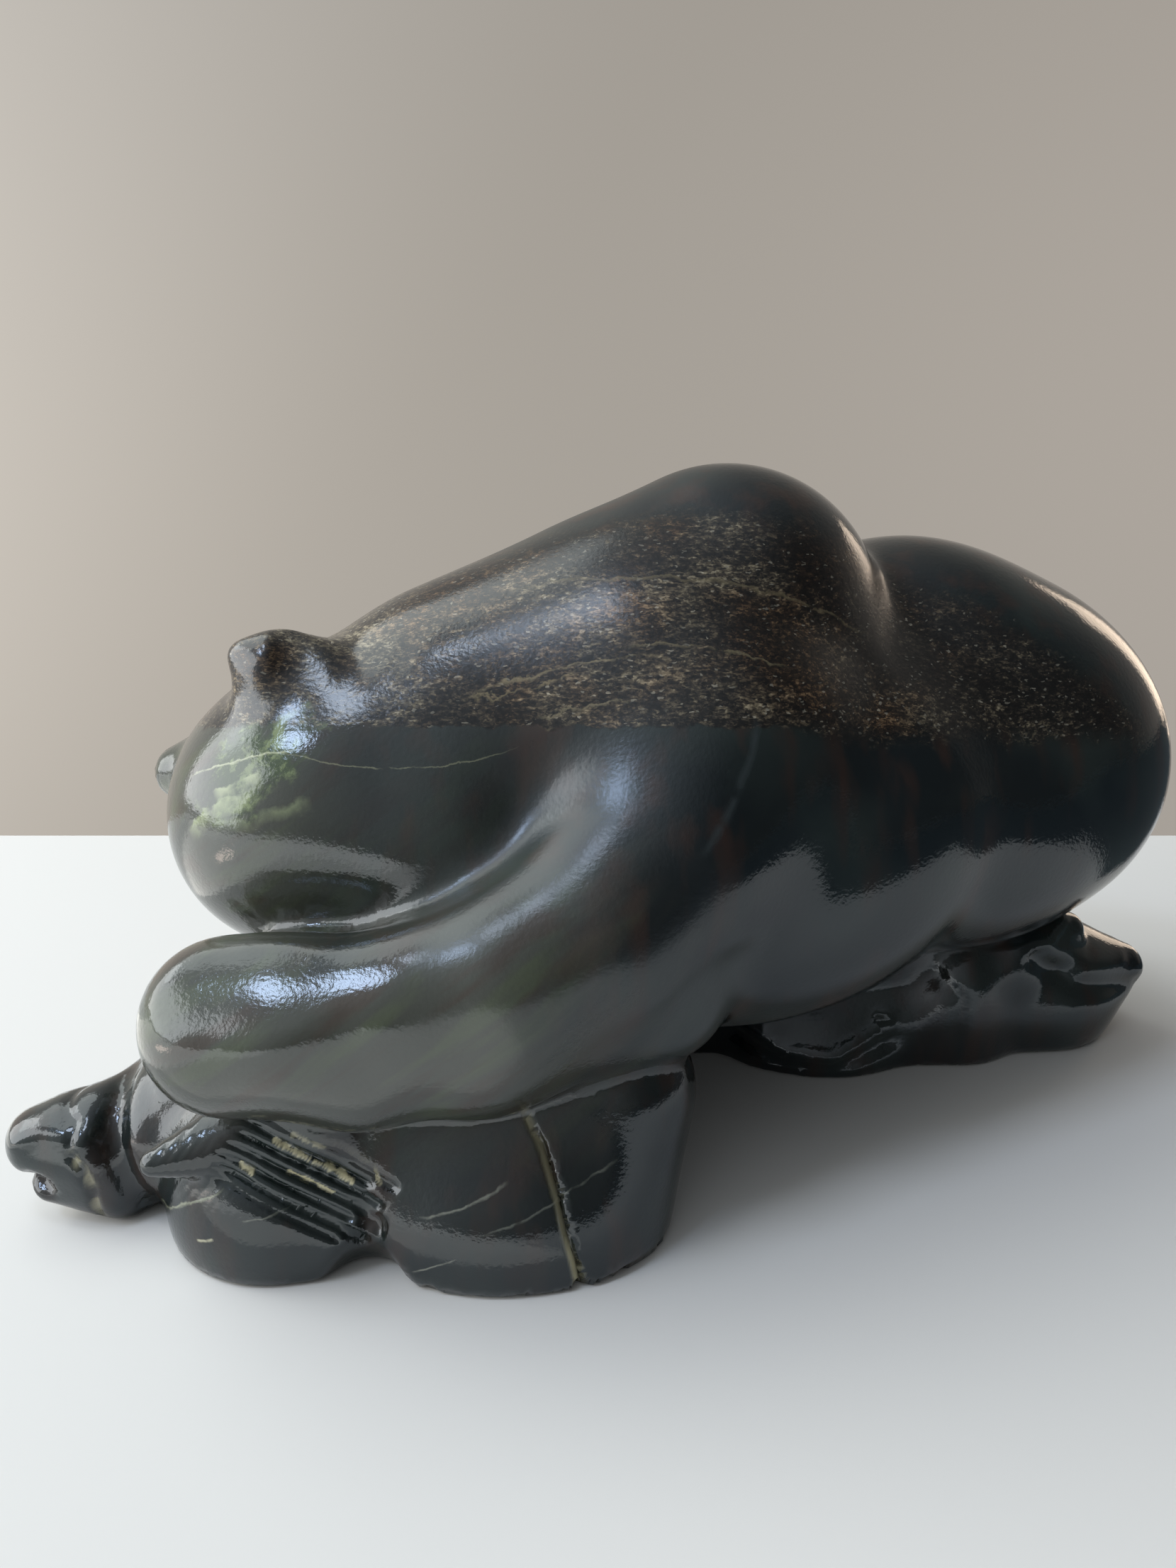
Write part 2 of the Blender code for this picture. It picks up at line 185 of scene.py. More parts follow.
@dataclass(frozen=True)
class Egg(Mass):
    """A rounded mass: an ellipsoid, turned in degrees about X, Y and Z."""

    centre: Spot
    radii: Spot
    turn: Spot = (0, 0, 0)
    soft: float = 1.5

    def form(self, p: Array) -> Array:
        """Distance to the surface, close to true near it."""
        q = p - np.array(self.centre, float)
        if any(self.turn):
            q = q @ turned(self.turn)
        r = np.array(self.radii, float)
        near = np.linalg.norm(q / r, axis=1)
        slope = np.linalg.norm(q / (r * r), axis=1)
        return near * (near - 1.0) / np.maximum(slope, 1e-9)


@dataclass(frozen=True)
class Slab(Mass):
    """A box with rounded edges, turned in degrees."""

    centre: Spot
    half: Spot
    edge: float
    turn: Spot
    soft: float = 1.5

    def form(self, p: Array) -> Array:
        """Distance to the surface."""
        q = np.abs((p - np.array(self.centre, float)) @ turned(self.turn))
        q = q - (np.array(self.half, float) - self.edge)
        outer = np.linalg.norm(np.maximum(q, 0), axis=1)
        return outer + np.minimum(q.max(axis=1), 0) - self.edge


@dataclass(frozen=True)
class Limb(Mass):
    """A round limb that tapers between its joints."""

    joints: tuple[tuple[Spot, float], ...]
    soft: float = 1.5
    bend: float = 3.0

    def form(self, p: Array) -> Array:
        """Distance to the surface."""
        whole = None
        for (start, r0), (end, r1) in zip(self.joints[:-1], self.joints[1:]):
            a = np.array(start, float)
            along = np.array(end, float) - a
            length = float(np.linalg.norm(along))
            t = (p - a) @ along / length**2
            side = np.linalg.norm(p - a - np.outer(t, along), axis=1)
            slope = min(0.95, max(-0.95, (r0 - r1) / length))
            t = np.clip(t - side * slope / math.sqrt(1 - slope * slope) / length, 0, 1)
            piece = np.linalg.norm(p - a - np.outer(t, along), axis=1) - (r0 + (r1 - r0) * t)
            whole = piece if whole is None else blend(whole, piece, self.bend)
        return whole


@dataclass(frozen=True)
class Cut:
    """A line cut into the stone, or left raised where its depth is below zero.

    The line is drawn along X and Z and reaches the skin on one side only: a point counts as it
    lies beyond the edge along -Y.
    """

    points: tuple[Pair, ...]
    width: float
    depth: float
    edge: float = 14.0
    ease: float = 3.0

    def line(self, p: Array) -> Array:
        """1 on the line, fading over its width."""
        return fade(-p[:, 1], self.edge, self.ease) * dent(track(p, [0, 2], self.points), self.width)

    def relief(self, p: Array) -> Array:
        """How deep the stone is cut."""
        return self.depth * self.line(p)


@dataclass(frozen=True)
class Flat:
    """A place that was ground flatter than the round form: its way, its level and its ends."""

    way: Spot
    level: float
    left: float
    right: float
    bottom: float
    ease: float = 3.0
    strength: float = 2.0

    def relief(self, p: Array) -> Array:
        """How much of the form that stands proud of the level is ground off."""
        proud = self.strength * np.maximum(p @ unit(self.way) - self.level, 0)
        along = fade(p[:, 0], self.left, self.ease) * fade(-p[:, 0], -self.right, self.ease)
        return proud * along * fade(p[:, 2], self.bottom, self.ease)


@dataclass
class Trunk:
    """The bear's trunk, neck, tail and far limbs."""

    masses: tuple[Egg | Limb, ...] = (
        Egg((1.0, -4.0, 29.5), (16.0, 15.5, 17.5)),
        Egg((6.4, 1.0, 41.0), (12.2, 10.0, 12.6), (0, 10, 0), 6.0),
        Limb((((6.0, 1.0, 41.0), 11.3), ((-14.0, -4.0, 35.2), 9.6)), 4.0),
        Egg((11.8, 1.2, 27.3), (19.0, 18.0, 15.4), (0, 0, 0), 4.0),
        Egg((26.2, 9.0, 29.0), (20.9, 16.5, 17.2), (0, 12, 0), 4.5),
        Egg((22.6, 8.0, 34.3), (14.6, 12.0, 13.5), (0, 6, 0), 2.0),
        Egg((8.0, -5.0, 21.0), (14.0, 12.5, 10.0), (0, -10, 0), 5.0),
        Egg((25.6, 2.5, 24.2), (11.8, 11.3, 10.2), (0, 12, 0), 4.0),
        Egg((25.0, 17.0, 18.0), (14.5, 9.5, 14.5), (0, 0, 0), 2.5),
        Egg((-9.0, -1.0, 15.0), (17.0, 12.5, 9.0), (0, 0, 0), 2.0),
        Egg((-16.0, -10.5, 28.0), (10.5, 10.8, 9.0), (0, 0, 0), 2.5),
        Egg((13.0, 11.5, 10.0), (25.0, 8.5, 12.0), (0, 0, 0), 1.5),
        Limb((((-2.0, -2.0, 35.0), 14.3), ((-20.0, -7.5, 30.9), 11.3)), 4.0),
        Limb((((3.0, 8.0, 32.0), 10.5), ((6.5, 16.5, 15.0), 7.8), ((-8.0, 19.0, 7.0), 5.8)), 2.6),
        Limb((((31.0, 21.5, 5.2), 6.0), ((20.0, 22.8, 4.0), 5.0)), 1.6),
        Limb((((42.0, 15.5, 32.5), 4.0), ((45.8, 17.6, 28.8), 2.6)), 1.5),
    )
    # Each far paw with the gap between its toe lines and where they start in front of its middle
    far_paws: tuple[tuple[Egg, float, float], ...] = (
        (Egg((-14.5, 19.0, 3.6), (7.6, 6.0, 5.4), soft=1.2), 2.5, 2.5),
        (Egg((15.0, 23.0, 2.6), (6.0, 5.2, 4.6), soft=1.2), 2.2, 1.5),
    )
    toe_width: float = 0.55
    toe_depth: float = 0.8
    toe_start: float = 3.0
    toe_end: Pair = (8.5, 1.5)

    def form(self, p: Array) -> Array:
        """Blend the masses, then the two far paws with their toes."""
        whole = self.masses[0].form(p)
        for mass in self.masses[1:]:
            whole = mass.onto(whole, p)
        reach, ease = self.toe_end
        for paw, gap, edge in self.far_paws:
            whole = paw.onto(whole, p)
            off = p - np.array(paw.centre)
            front = fade(-off[:, 0], edge, self.toe_start)
            front = front * fade(-np.linalg.norm(off, axis=1), -reach, ease)
            for step in (-1, 0, 1):
                line = dent(off[:, 1] - step * gap, self.toe_width)
                whole = whole + self.toe_depth * front * line
        return whole


@dataclass
class Head:
    """The head, turned away from the near side, with its face, ears and nose."""

    centre: Spot = (-25.4, -8.2, 29.0)
    ahead: Spot = (-0.10, 0.985, -0.12)
    crown: Spot = (-0.68, 0.02, 0.73)
    skull: Egg = Egg((0, 0, 0), (12.0, 11.0, 10.6), soft=3.0)
    muzzle: Limb = Limb(
        (((3.0, 0.0, -1.6), 8.0), ((13.0, 0.0, -3.2), 5.6), ((18.4, 0.0, -3.4), 4.5)), 2.5
    )
    nose: Egg = Egg((22.2, 0.0, -1.6), (1.8, 2.6, 1.8), soft=0.7)
    nostril: Egg = Egg((24.0, 1.2, -1.7), (0.9, 0.6, 0.7), soft=0.3)
    eye_socket: Egg = Egg((13.4, 5.6, 2.6), (2.6, 2.2, 1.6), soft=1.8)
    eye: Egg = Egg((10.9, 4.7, 2.4), (1.3, 1.3, 1.1), soft=0.4)
    mouth_middle: float = 17.0
    mouth_height: float = -6.2
    mouth_slope: float = 0.1
    mouth_width: float = 0.6
    mouth_depth: float = 0.9
    mouth_from: Pair = (11.5, 4.0)
    mouth_to: Pair = (26.0, 1.0)
    mouth_side: Pair = (7.0, 2.0)
    near_ear: Limb = Limb(
        (((-24.0, -10.6, 36.3), 4.4), ((-24.4, -11.4, 39.6), 2.1), ((-26.4, -11.8, 40.3), 2.6)), 1.8
    )
    near_tip: Limb = Limb(
        (((-26.6, -11.9, 40.3), 2.3), ((-28.6, -12.2, 41.2), 0.6), ((-26.9, -12.6, 37.4), 1.8)), 1.0
    )
    near_hollow: Egg = Egg((-28.8, -9.6, 41.0), (2.4, 1.9, 3.0), (0, -25, 0), 0.8)
    far_ear: Limb = Limb((((-31.8, -5.0, 31.2), 4.0), ((-36.6, -4.6, 30.6), 2.2)))
    far_hollow: Egg = Egg((-37.6, -1.9, 31.0), (2.0, 2.0, 2.2), soft=0.8)

    def axes(self) -> Array:
        """The head's own axes as columns: ahead, right, crown."""
        ahead = unit(self.ahead)
        right = unit(np.cross(ahead, self.crown))
        return np.stack([ahead, right, np.cross(right, ahead)], axis=1)

    def form(self, p: Array, body: Array) -> Array:
        """Blend the head onto the body.

        Args:
            p: Points, one a row.
            body: The body's field there.

        Returns:
            The field with the head.
        """
        q = (p - np.array(self.centre)) @ self.axes()
        whole = self.muzzle.onto(self.skull.onto(body, q), q)
        near_ear = self.near_hollow.out_of(self.near_tip.onto(self.near_ear.form(p), p), p)
        whole = blend(whole, near_ear, self.near_ear.soft)
        far_ear = self.far_hollow.out_of(self.far_ear.form(p), p)
        whole = blend(whole, far_ear, self.far_ear.soft)
        q[:, 1] = np.abs(q[:, 1])
        ahead, right, crown = q.T
        inside = fade(ahead, *self.mouth_from)
        for far, (edge, width) in ((ahead, self.mouth_to), (right, self.mouth_side)):
            inside = inside * fade(-far, -edge, width)
        mouth = crown - self.mouth_height - self.mouth_slope * (ahead - self.mouth_middle)
        whole = whole + self.mouth_depth * inside * dent(mouth, self.mouth_width)
        whole = self.nostril.out_of(self.nose.onto(whole, q), q)
        return self.eye.onto(self.eye_socket.out_of(whole, q), q)


@dataclass
class Catch:
    """The catch under the near foreleg and the block that it lies in."""

    block: Slab = Slab((-12.1, -6.0, 2.4), (14.2, 19.0, 12.4), 6.5, (-16, 12, -2))
    swells: tuple[Egg | Limb, ...] = (
        Egg((-27.0, -16.7, 2.6), (9.3, 10.3, 11.0), (0, 0, 0), 2.5),
        Egg((-11.0, -17.3, 2.0), (10.5, 10.4, 9.0), (0, 0, 0), 3.5),
        Egg((-21.5, 0.0, 2.6), (13.0, 12.5, 9.6), (0, 0, 0), 3.0),
        Limb((((-29.0, -12.5, 7.0), 8.2), ((-36.8, -15.0, 5.2), 5.7)), 1.5),
    )
    snout: Limb = Limb((((-40.9, -16.6, 4.8), 4.6), ((-45.3, -17.7, 5.7), 2.6)), 1.0)
    jaw: Limb = Limb((((-39.5, -17.4, 2.8), 3.4), ((-44.4, -18.7, 2.9), 1.5)), 0.8)
    mouth_hole: Egg = Egg((-45.0, -20.4, 3.8), (1.3, 1.2, 0.8), (0, 25, 0), 0.4)
    fin: Limb = Limb((((-24.0, -20.5, 9.6), 4.6), ((-34.2, -25.0, 8.8), 0.9)), 0.8)
    notch: Limb = Limb((((-19.8, -26.6, -3.0), 4.0), ((-20.0, -26.8, 4.0), 0.6)), 1.2)
    dimple: Egg = Egg((-17.2, -29.8, 8.2), (3.0, 3.4, 4.8), soft=1.2)
    scoop: Egg = Egg((-20.0, -26.4, 5.6), (1.2, 1.7, 2.6), (0, -25, 0), 0.4)
    scoop_ripple: float = 0.15
    near_face: Pair = (17.0, 4.0)
    ray_centre: Pair = (-24.2, 8.3)
    ray_way: Pair = (0.855, -0.519)
    ray_reach: float = 5.2
    ray_spread: float = 2.9
    ray_pitch: float = 0.95
    ray_lean: float = 0.5
    ray_depth_at: float = 26.5
    ray_floor: float = 0.35
    ray_depth: float = 0.55
    ray_waver: float = 0.04
    ray_uneven: float = 0.9
    ray_ease: Pair = (2.0, 0.9)
    ridge_shape: float = 0.4
    pale_rays: tuple[tuple[Pair, ...], ...] = (
        ((-25.9, 10.4), (-23.4, 8.8), (-20.9, 7.0)),
        ((-25.0, 8.1), (-22.2, 6.4)),
        ((-28.4, 9.0), (-27.5, 8.2)),
        ((-24.6, 10.9), (-22.6, 9.9)),
        ((-22.3, 10.5), (-20.6, 9.1), (-19.3, 8.3), (-18.9, 6.8)),
    )
    pale_width: float = 0.22
    pale_edge: Pair = (0.35, 0.3)
    pale_crest: Pair = (0.45, 0.4)
    pale_crack: float = 0.6
    chisel_spot: Pair = (-32.6, 8.2)
    chisel_reach: float = 3.4
    chisel_pitch: float = 0.55
    chisel_depth: float = 0.035
    groove: Cut = Cut(
        ((-9.4, 13.0), (-8.5, 11.0), (-7.6, 9.4), (-6.6, 6.5), (-6.1, 4.3), (-5.5, 2.2), (-5.1, 0.0)),
        0.2,
        0.5,
        17.0,
    )
    lip_side: Spot = (0.18, 0.0, 0.0)
    lip_foot: Pair = (-3.4, 1.5)
    crack: Cut = Cut(((-41.9, 6.4), (-41.0, 5.5), (-40.6, 4.0), (-40.7, 1.0)), 0.28, 0.4)
    cuts: tuple[Cut, ...] = (
        Cut(((-48.5, 3.9), (-45.4, 3.7), (-44.0, 3.2)), 0.4, 0.5),
        Cut(((-39.6, 11.5), (-39.3, 8.8), (-39.1, 6.8), (-38.5, 4.7), (-37.6, 1.5)), 1.1, 0.9),
        Cut(((-46.5, 7.0), (-44.4, 7.9), (-41.2, 7.6)), 0.8, -0.35),
        Cut(((-43.6, 9.3), (-42.6, 8.5), (-41.8, 8.3), (-42.0, 7.3)), 0.3, 0.25),
        Cut(((-37.4, 13.0), (-35.4, 10.4), (-31.6, 12.0)), 0.7, -0.35, 17.0),
    )

    def near(self, p: Array) -> Array:
        """1 on the near face of the block, 0 elsewhere."""
        return fade(-p[:, 1], *self.near_face)

    def ray_axes(self, p: Array) -> tuple[Array, Array]:
        """How far each point lies along the fin's rays, and across them in ray pitches."""
        x = p[:, 0] - self.ray_centre[0]
        z = p[:, 2] - self.ray_centre[1] + self.ray_lean * (p[:, 1] + self.ray_depth_at)
        along = self.ray_way[0] * x + self.ray_way[1] * z
        across = (self.ray_way[0] * z - self.ray_way[1] * x) / self.ray_pitch
        return along, across + self.ray_waver * ripple(p, 7.0, 0.7)

    def patch(self, p: Array) -> Array:
        """1 inside the patch of fin rays, whose ends break off unevenly."""
        along, across = self.ray_axes(p)
        end = self.ray_reach + self.ray_uneven * np.sin(2.4 * np.round(across))
        from_left, from_right = self.ray_ease
        inside = fade(along, -self.ray_reach, from_left) * fade(-along, -end, from_right)
        half = self.ray_spread / self.ray_pitch
        return self.near(p) * inside * np.exp(-((across / half) ** 6))

    def ridges(self, p: Array) -> Array:
        """1 on a ray's crest, 0 in the cut between two rays."""
        return np.abs(np.sin(math.pi * self.ray_axes(p)[1])) ** self.ridge_shape

    def rays(self, p: Array) -> Array:
        """How deep the patch of slanting rays is cut."""
        return self.patch(p) * (self.ray_floor + self.ray_depth * (1 - self.ridges(p)))

    def chisel(self, p: Array) -> Array:
        """Fine strokes of a flat chisel that rise towards the rays."""
        x, z = p[:, 0] - self.chisel_spot[0], p[:, 2] - self.chisel_spot[1]
        inside = self.near(p) * dent(np.hypot(x, z), self.chisel_reach)
        strokes = np.abs(np.sin(math.pi * (0.80 * x - 0.60 * z) / self.chisel_pitch))
        return self.chisel_depth * inside * (1 - strokes)

    def left_as_cut(self, p: Array) -> Array:
        """1 where the last tool's pale, unpolished cut shows, 0 on the polish."""
        rough = 0.6 + 0.4 * ripple(p, 1.5, 0.4)
        drawn = [dent(track(p, [0, 2], ray), self.pale_width * rough) for ray in self.pale_rays]
        pale = fade(self.ridges(p), *self.pale_crest) * self.patch(p)
        pale = pale * fade(np.max(drawn, axis=0), *self.pale_edge)
        lip = self.groove.line(p + self.lip_side) ** 2
        lip = lip * (0.5 + 0.5 * fade(-p[:, 2], *self.lip_foot))
        crack = self.crack.line(p) * fade(ripple(p, 1.6, 2.2), 0.0, 0.6)
        return np.clip(pale + lip + self.pale_crack * crack, 0, 1)

    def form(self, p: Array) -> Array:
        """The catch and its block."""
        whole = self.block.form(p)
        for swell in self.swells:
            whole = swell.onto(whole, p)
        whole = blend(whole, self.jaw.onto(self.snout.form(p), p), self.snout.soft)
        whole = self.notch.out_of(self.fin.onto(whole, p), p)
        whole = self.dimple.out_of(whole + self.rays(p) + self.chisel(p), p)
        scoop = self.scoop.form(p) + self.scoop_ripple * ripple(p, 1.7, 0.9)
        whole = carve(whole, scoop, self.scoop.soft)
        for cut in (self.groove, self.crack, *self.cuts):
            whole = whole + cut.relief(p)
        return self.mouth_hole.out_of(whole, p)


@dataclass
class RearBase:
    """The low base under the rump, with a crescent ledge, a heel and a pointed foot."""

    block: Slab = Slab((21.5, 12.5, 1.0), (13.5, 10.2, 7.0), 4.5, (0, 0, 2))
    middle: Slab = Slab((2.0, 11.0, 0.0), (14.0, 6.6, 9.0), 3.5, (0, 0, 4), 2.0)
    ledge: Egg = Egg((17.5, 8.2, 0.5), (9.4, 8.0, 6.0))
    heel: Egg = Egg((29.8, 8.8, 5.5), (5.2, 7.0, 8.0))
    foot: Limb = Limb(
        (((30.0, 12.0, 4.0), 9.2), ((39.4, 12.2, 3.6), 7.4), ((47.2, 11.4, 5.9), 2.6)), 1.5, 2.0
    )
    fold: Limb = Limb((((34.0, 7.5, 8.6), 4.0), ((40.6, 8.8, 11.0), 1.8)), 1.4)
    toes: tuple[float, ...] = (13.2, 14.8, 16.4)
    toes_from: Pair = (42.0, 3.0)
    toes_above: Pair = (6.0, 2.0)
    toe_width: float = 0.45
    toe_depth: float = 0.5
    knob: Egg = Egg((22.6, 1.9, 5.0), (0.9, 1.2, 1.2), soft=0.4)
    cuts: tuple[Cut, ...] = (
        Cut(((9.4, 4.2), (13.2, 2.4), (17.5, 2.2), (22.4, 4.4)), 0.45, -0.4, -8.0),
        Cut(((9.0, 3.0), (13.0, 1.2), (17.5, 1.0), (23.4, 3.0)), 0.5, 0.35, -8.0),
        Cut(((35.2, 11.0), (37.8, 11.4), (40.0, 12.8)), 0.6, -0.4, -12.0),
        Cut(((36.4, 9.8), (40.7, 6.8), (48.4, 5.2)), 0.9, 0.45, -13.0),
        Cut(((38.5, 10.6), (42.5, 8.4), (46.5, 8.0)), 0.8, -0.3, -13.0),
        Cut(((27.0, 9.0), (29.5, 6.8), (29.0, 3.0)), 0.7, 0.4, -8.0),
    )

    def form(self, p: Array) -> Array:
        """The base."""
        whole = self.block.form(p)
        for mass in (self.ledge, self.heel, self.foot, self.fold, self.middle):
            whole = mass.onto(whole, p)
        toes = fade(p[:, 0], *self.toes_from) * fade(p[:, 2], *self.toes_above)
        for middle in self.toes:
            whole = whole + self.toe_depth * toes * dent(p[:, 1] - middle, self.toe_width)
        for cut in self.cuts:
            whole = whole + cut.relief(p)
        return self.knob.onto(whole, p)


@dataclass
class Carving:
    """The whole stone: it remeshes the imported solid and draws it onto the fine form."""

    node: str = "bear_carving"
    trunk: Trunk = field(default_factory=Trunk)
    head: Head = field(default_factory=Head)
    catch: Catch = field(default_factory=Catch)
    base: RearBase = field(default_factory=RearBase)
    foreleg: Limb = Limb(
        (
            ((5.0, -8.0, 33.0), 10.8),
            ((0.5, -14.5, 27.5), 8.6),
            ((-4.5, -19.8, 23.8), 6.8),
            ((-10.5, -23.6, 22.0), 5.2),
            ((-17.0, -25.0, 20.9), 4.3),
            ((-24.0, -25.0, 19.8), 4.9),
            ((-28.4, -24.2, 19.1), 5.7),
        ),
        2.6,
    )
    forearm_underside: Limb = Limb(
        (
            ((-0.5, -16.5, 18.8), 6.5),
            ((-12.0, -22.0, 17.8), 5.6),
            ((-20.0, -23.3, 17.2), 5.2),
            ((-28.0, -23.5, 17.8), 5.0),
        ),
        2.0,
    )
    forearm_flat: Flat = Flat((-0.15, -0.68, 0.72), 39.45, -40.0, -16.5, 15.0)
    neck_flat: Flat = Flat((-0.028, -0.70, 0.7125), 39.4, -25.5, -18.0, 39.6)
    catch_soft: float = 0.9
    base_soft: float = 1.2
    foot_edge: float = 0.5
    cell_mm: float = 1.72
    weld_m: float = 2e-6
    probe: float = 0.04
    stride: float = 0.5
    flattest: float = 0.25
    fine_balls: tuple[tuple[Spot, float, int], ...] = (
        ((-24.0, -25.0, 8.0), 8.0, 2),
        ((-32.5, -24.0, 8.5), 4.5, 2),
        ((-24.7, 10.5, 26.5), 9.5, 1),
        ((-42.5, -19.0, 4.5), 6.5, 1),
        ((-6.8, -25.5, 6.8), 7.2, 2),
        ((42.0, 9.0, 8.0), 8.0, 1),
        ((-28.0, -11.5, 40.5), 4.5, 1),
    )

    def form(self, p: Array) -> Array:
        """The stone's field, with its edge at the table eased."""
        whole = self.head.form(p, self.trunk.form(p))
        under = self.forearm_underside
        arm = blend(self.foreleg.form(p), under.form(p), under.soft)
        arm = arm + self.forearm_flat.relief(p)
        whole = blend(whole + self.neck_flat.relief(p), arm, self.foreleg.soft)
        whole = blend(whole, self.catch.form(p), self.catch_soft)
        whole = blend(whole, self.base.form(p), self.base_soft)
        return carve(whole, p[:, 2], self.foot_edge)

    def settle(self, p: Array, steps: int) -> Array:
        """Draw points onto the stone's surface along the field's gradient.

        Args:
            p: Points, one a row.
            steps: How many times they are moved.

        Returns:
            The moved points.
        """
        for _ in range(steps):
            value = self.form(p)
            gradient = np.zeros_like(p)
            for axis in range(3):
                moved = p.copy()
                moved[:, axis] += self.probe
                gradient[:, axis] = (self.form(moved) - value) / self.probe
            size = np.maximum((gradient**2).sum(axis=1), self.flattest)
            p = p - gradient * np.clip(value / size, -self.stride, self.stride)[:, None]
        return p

    def skin(self, source: bpy.types.Object) -> bpy.types.Mesh:
        """An even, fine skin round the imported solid, in hundredths of the drawn length.

        Args:
            source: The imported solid.

        Returns:
            The new mesh.
        """
        shell = bmesh.new()
        shell.from_mesh(source.data)
        bmesh.ops.remove_doubles(shell, verts=shell.verts[:], dist=self.weld_m)
        bmesh.ops.scale(shell, verts=shell.verts[:], vec=(1 / UNIT,) * 3)
        bmesh.ops.translate(shell, verts=shell.verts[:], vec=(*MIDDLE, 0))
        start = bpy.data.meshes.new("skin")
        shell.to_mesh(start)
        shell.free()
        holder = bpy.data.objects.new("skin", start)
        bpy.context.scene.collection.objects.link(holder)
        remesh = holder.modifiers.new("even", "REMESH")
        remesh.mode = "VOXEL"
        remesh.voxel_size = self.cell_mm / 1000 / UNIT
        graph = bpy.context.evaluated_depsgraph_get()
        data = bpy.data.meshes.new_from_object(holder.evaluated_get(graph))
        bpy.data.objects.remove(holder)
        bpy.data.meshes.remove(start)
        return data

    def refine(self, data: bpy.types.Mesh) -> None:
        """Split the faces inside each ball where the carving is fine."""
        shell = bmesh.new()
        shell.from_mesh(data)
        for turn in range(max(times for _, _, times in self.fine_balls)):
            balls = [(Vector(c), r) for c, r, times in self.fine_balls if times > turn]
            inside = {v for v in shell.verts if any((v.co - c).length < r for c, r in balls)}
            near = [edge for edge in shell.edges if inside.issuperset(edge.verts)]
            bmesh.ops.subdivide_edges(shell, edges=near, cuts=1, use_grid_fill=True)
        shell.to_mesh(data)
        shell.free()

    def draw_onto_form(self, data: bpy.types.Mesh, steps: int) -> None:
        """Move a mesh's vertices onto the stone's surface."""
        data.vertices.foreach_set("co", self.settle(places(data), steps).ravel())
        data.update()

    def mark(self, data: bpy.types.Mesh) -> None:
        """Store where the stone was left as cut, for the finish to read."""
        p = places(data)
        marks = {"left_as_cut": self.catch.left_as_cut(p), "fin_rays": self.catch.patch(p)}
        for name, values in marks.items():
            mark = data.attributes.new(name, "FLOAT", "POINT")
            mark.data.foreach_set("value", values.astype(np.float32))

    def build(self, source: bpy.types.Object, stone: bpy.types.Material) -> bpy.types.Object:
        """Make the finished piece.

        Args:
            source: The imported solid.
            stone: The stone's material.

        Returns:
            The finished object, in place of the solid.
        """
        data = self.skin(source)
        self.draw_onto_form(data, steps=2)
        self.refine(data)
        self.draw_onto_form(data, steps=3)
        self.mark(data)
        shell = bmesh.new()
        shell.from_mesh(data)
        bmesh.ops.translate(shell, verts=shell.verts[:], vec=(-MIDDLE[0], -MIDDLE[1], 0))
        bmesh.ops.scale(shell, verts=shell.verts[:], vec=(UNIT,) * 3)
        shell.to_mesh(data)
        shell.free()
        data.name = "polished_bear"
        data.materials.clear()
        data.materials.append(stone)
        data.shade_smooth()
        piece = bpy.data.objects.new("polished_bear", data)
        bpy.context.scene.collection.objects.link(piece)
        triangles = sum(len(face.vertices) - 2 for face in data.polygons)
        LOG.info("%s: %d vertices, %d triangles", piece.name, len(data.vertices), triangles)
        return piece


class Kind(Enum):
    """Kinds of node: the real name, the place of the output that is mostly wanted, the settings."""

    ATTRIBUTE = ("ShaderNodeAttribute", 2, {})
    BUMP = ("ShaderNodeBump", 0, {})
    CELLS = ("ShaderNodeTexVoronoi", 1, {})
    COMBINE = ("ShaderNodeCombineXYZ", 0, {})
    COORDINATES = ("ShaderNodeTexCoord", 3, {})
    DIFFERENCE = ("ShaderNodeMath", 0, {"operation": "SUBTRACT"})
    EASE = ("ShaderNodeMapRange", 0, {"interpolation_type": "SMOOTHSTEP"})
    LARGER = ("ShaderNodeMath", 0, {"operation": "MAXIMUM"})
    MAPPING = ("ShaderNodeMapping", 0, {})
    MIX = ("ShaderNodeMix", 2, {"data_type": "RGBA"})
    NOISE = ("ShaderNodeTexNoise", 0, {})
    PATCH = ("ShaderNodeMapping", 0, {"vector_type": "TEXTURE"})
    POWER = ("ShaderNodeMath", 0, {"operation": "POWER"})
    PRODUCT = ("ShaderNodeMath", 0, {"operation": "MULTIPLY"})
    PRODUCT_AND_SUM = ("ShaderNodeMath", 0, {"operation": "MULTIPLY_ADD"})
    RAMP = ("ShaderNodeValToRGB", 0, {})
    RANGE = ("ShaderNodeMapRange", 0, {})
    SEPARATE = ("ShaderNodeSeparateXYZ", 0, {})
    SUM = ("ShaderNodeMath", 0, {"operation": "ADD"})
    VECTOR = ("ShaderNodeVectorMath", 0, {})


class Plane(Enum):
    """The plane that a vein is drawn in."""

    FACE = "seen from the near side"
    LAYER = "along the stone's layers"


def linear(code: str) -> tuple[float, float, float, float]:
    """Turn an sRGB hex colour into linear light.

    Args:
        code: A # and six hex digits.

    Returns:
        Red, green, blue and an alpha of 1.
    """
    parts = [int(code[i : i + 2], 16) / 255 for i in (1, 3, 5)]
    light = [c / 12.92 if c <= 0.04045 else ((c + 0.055) / 1.055) ** 2.4 for c in parts]
    return (light[0], light[1], light[2], 1.0)


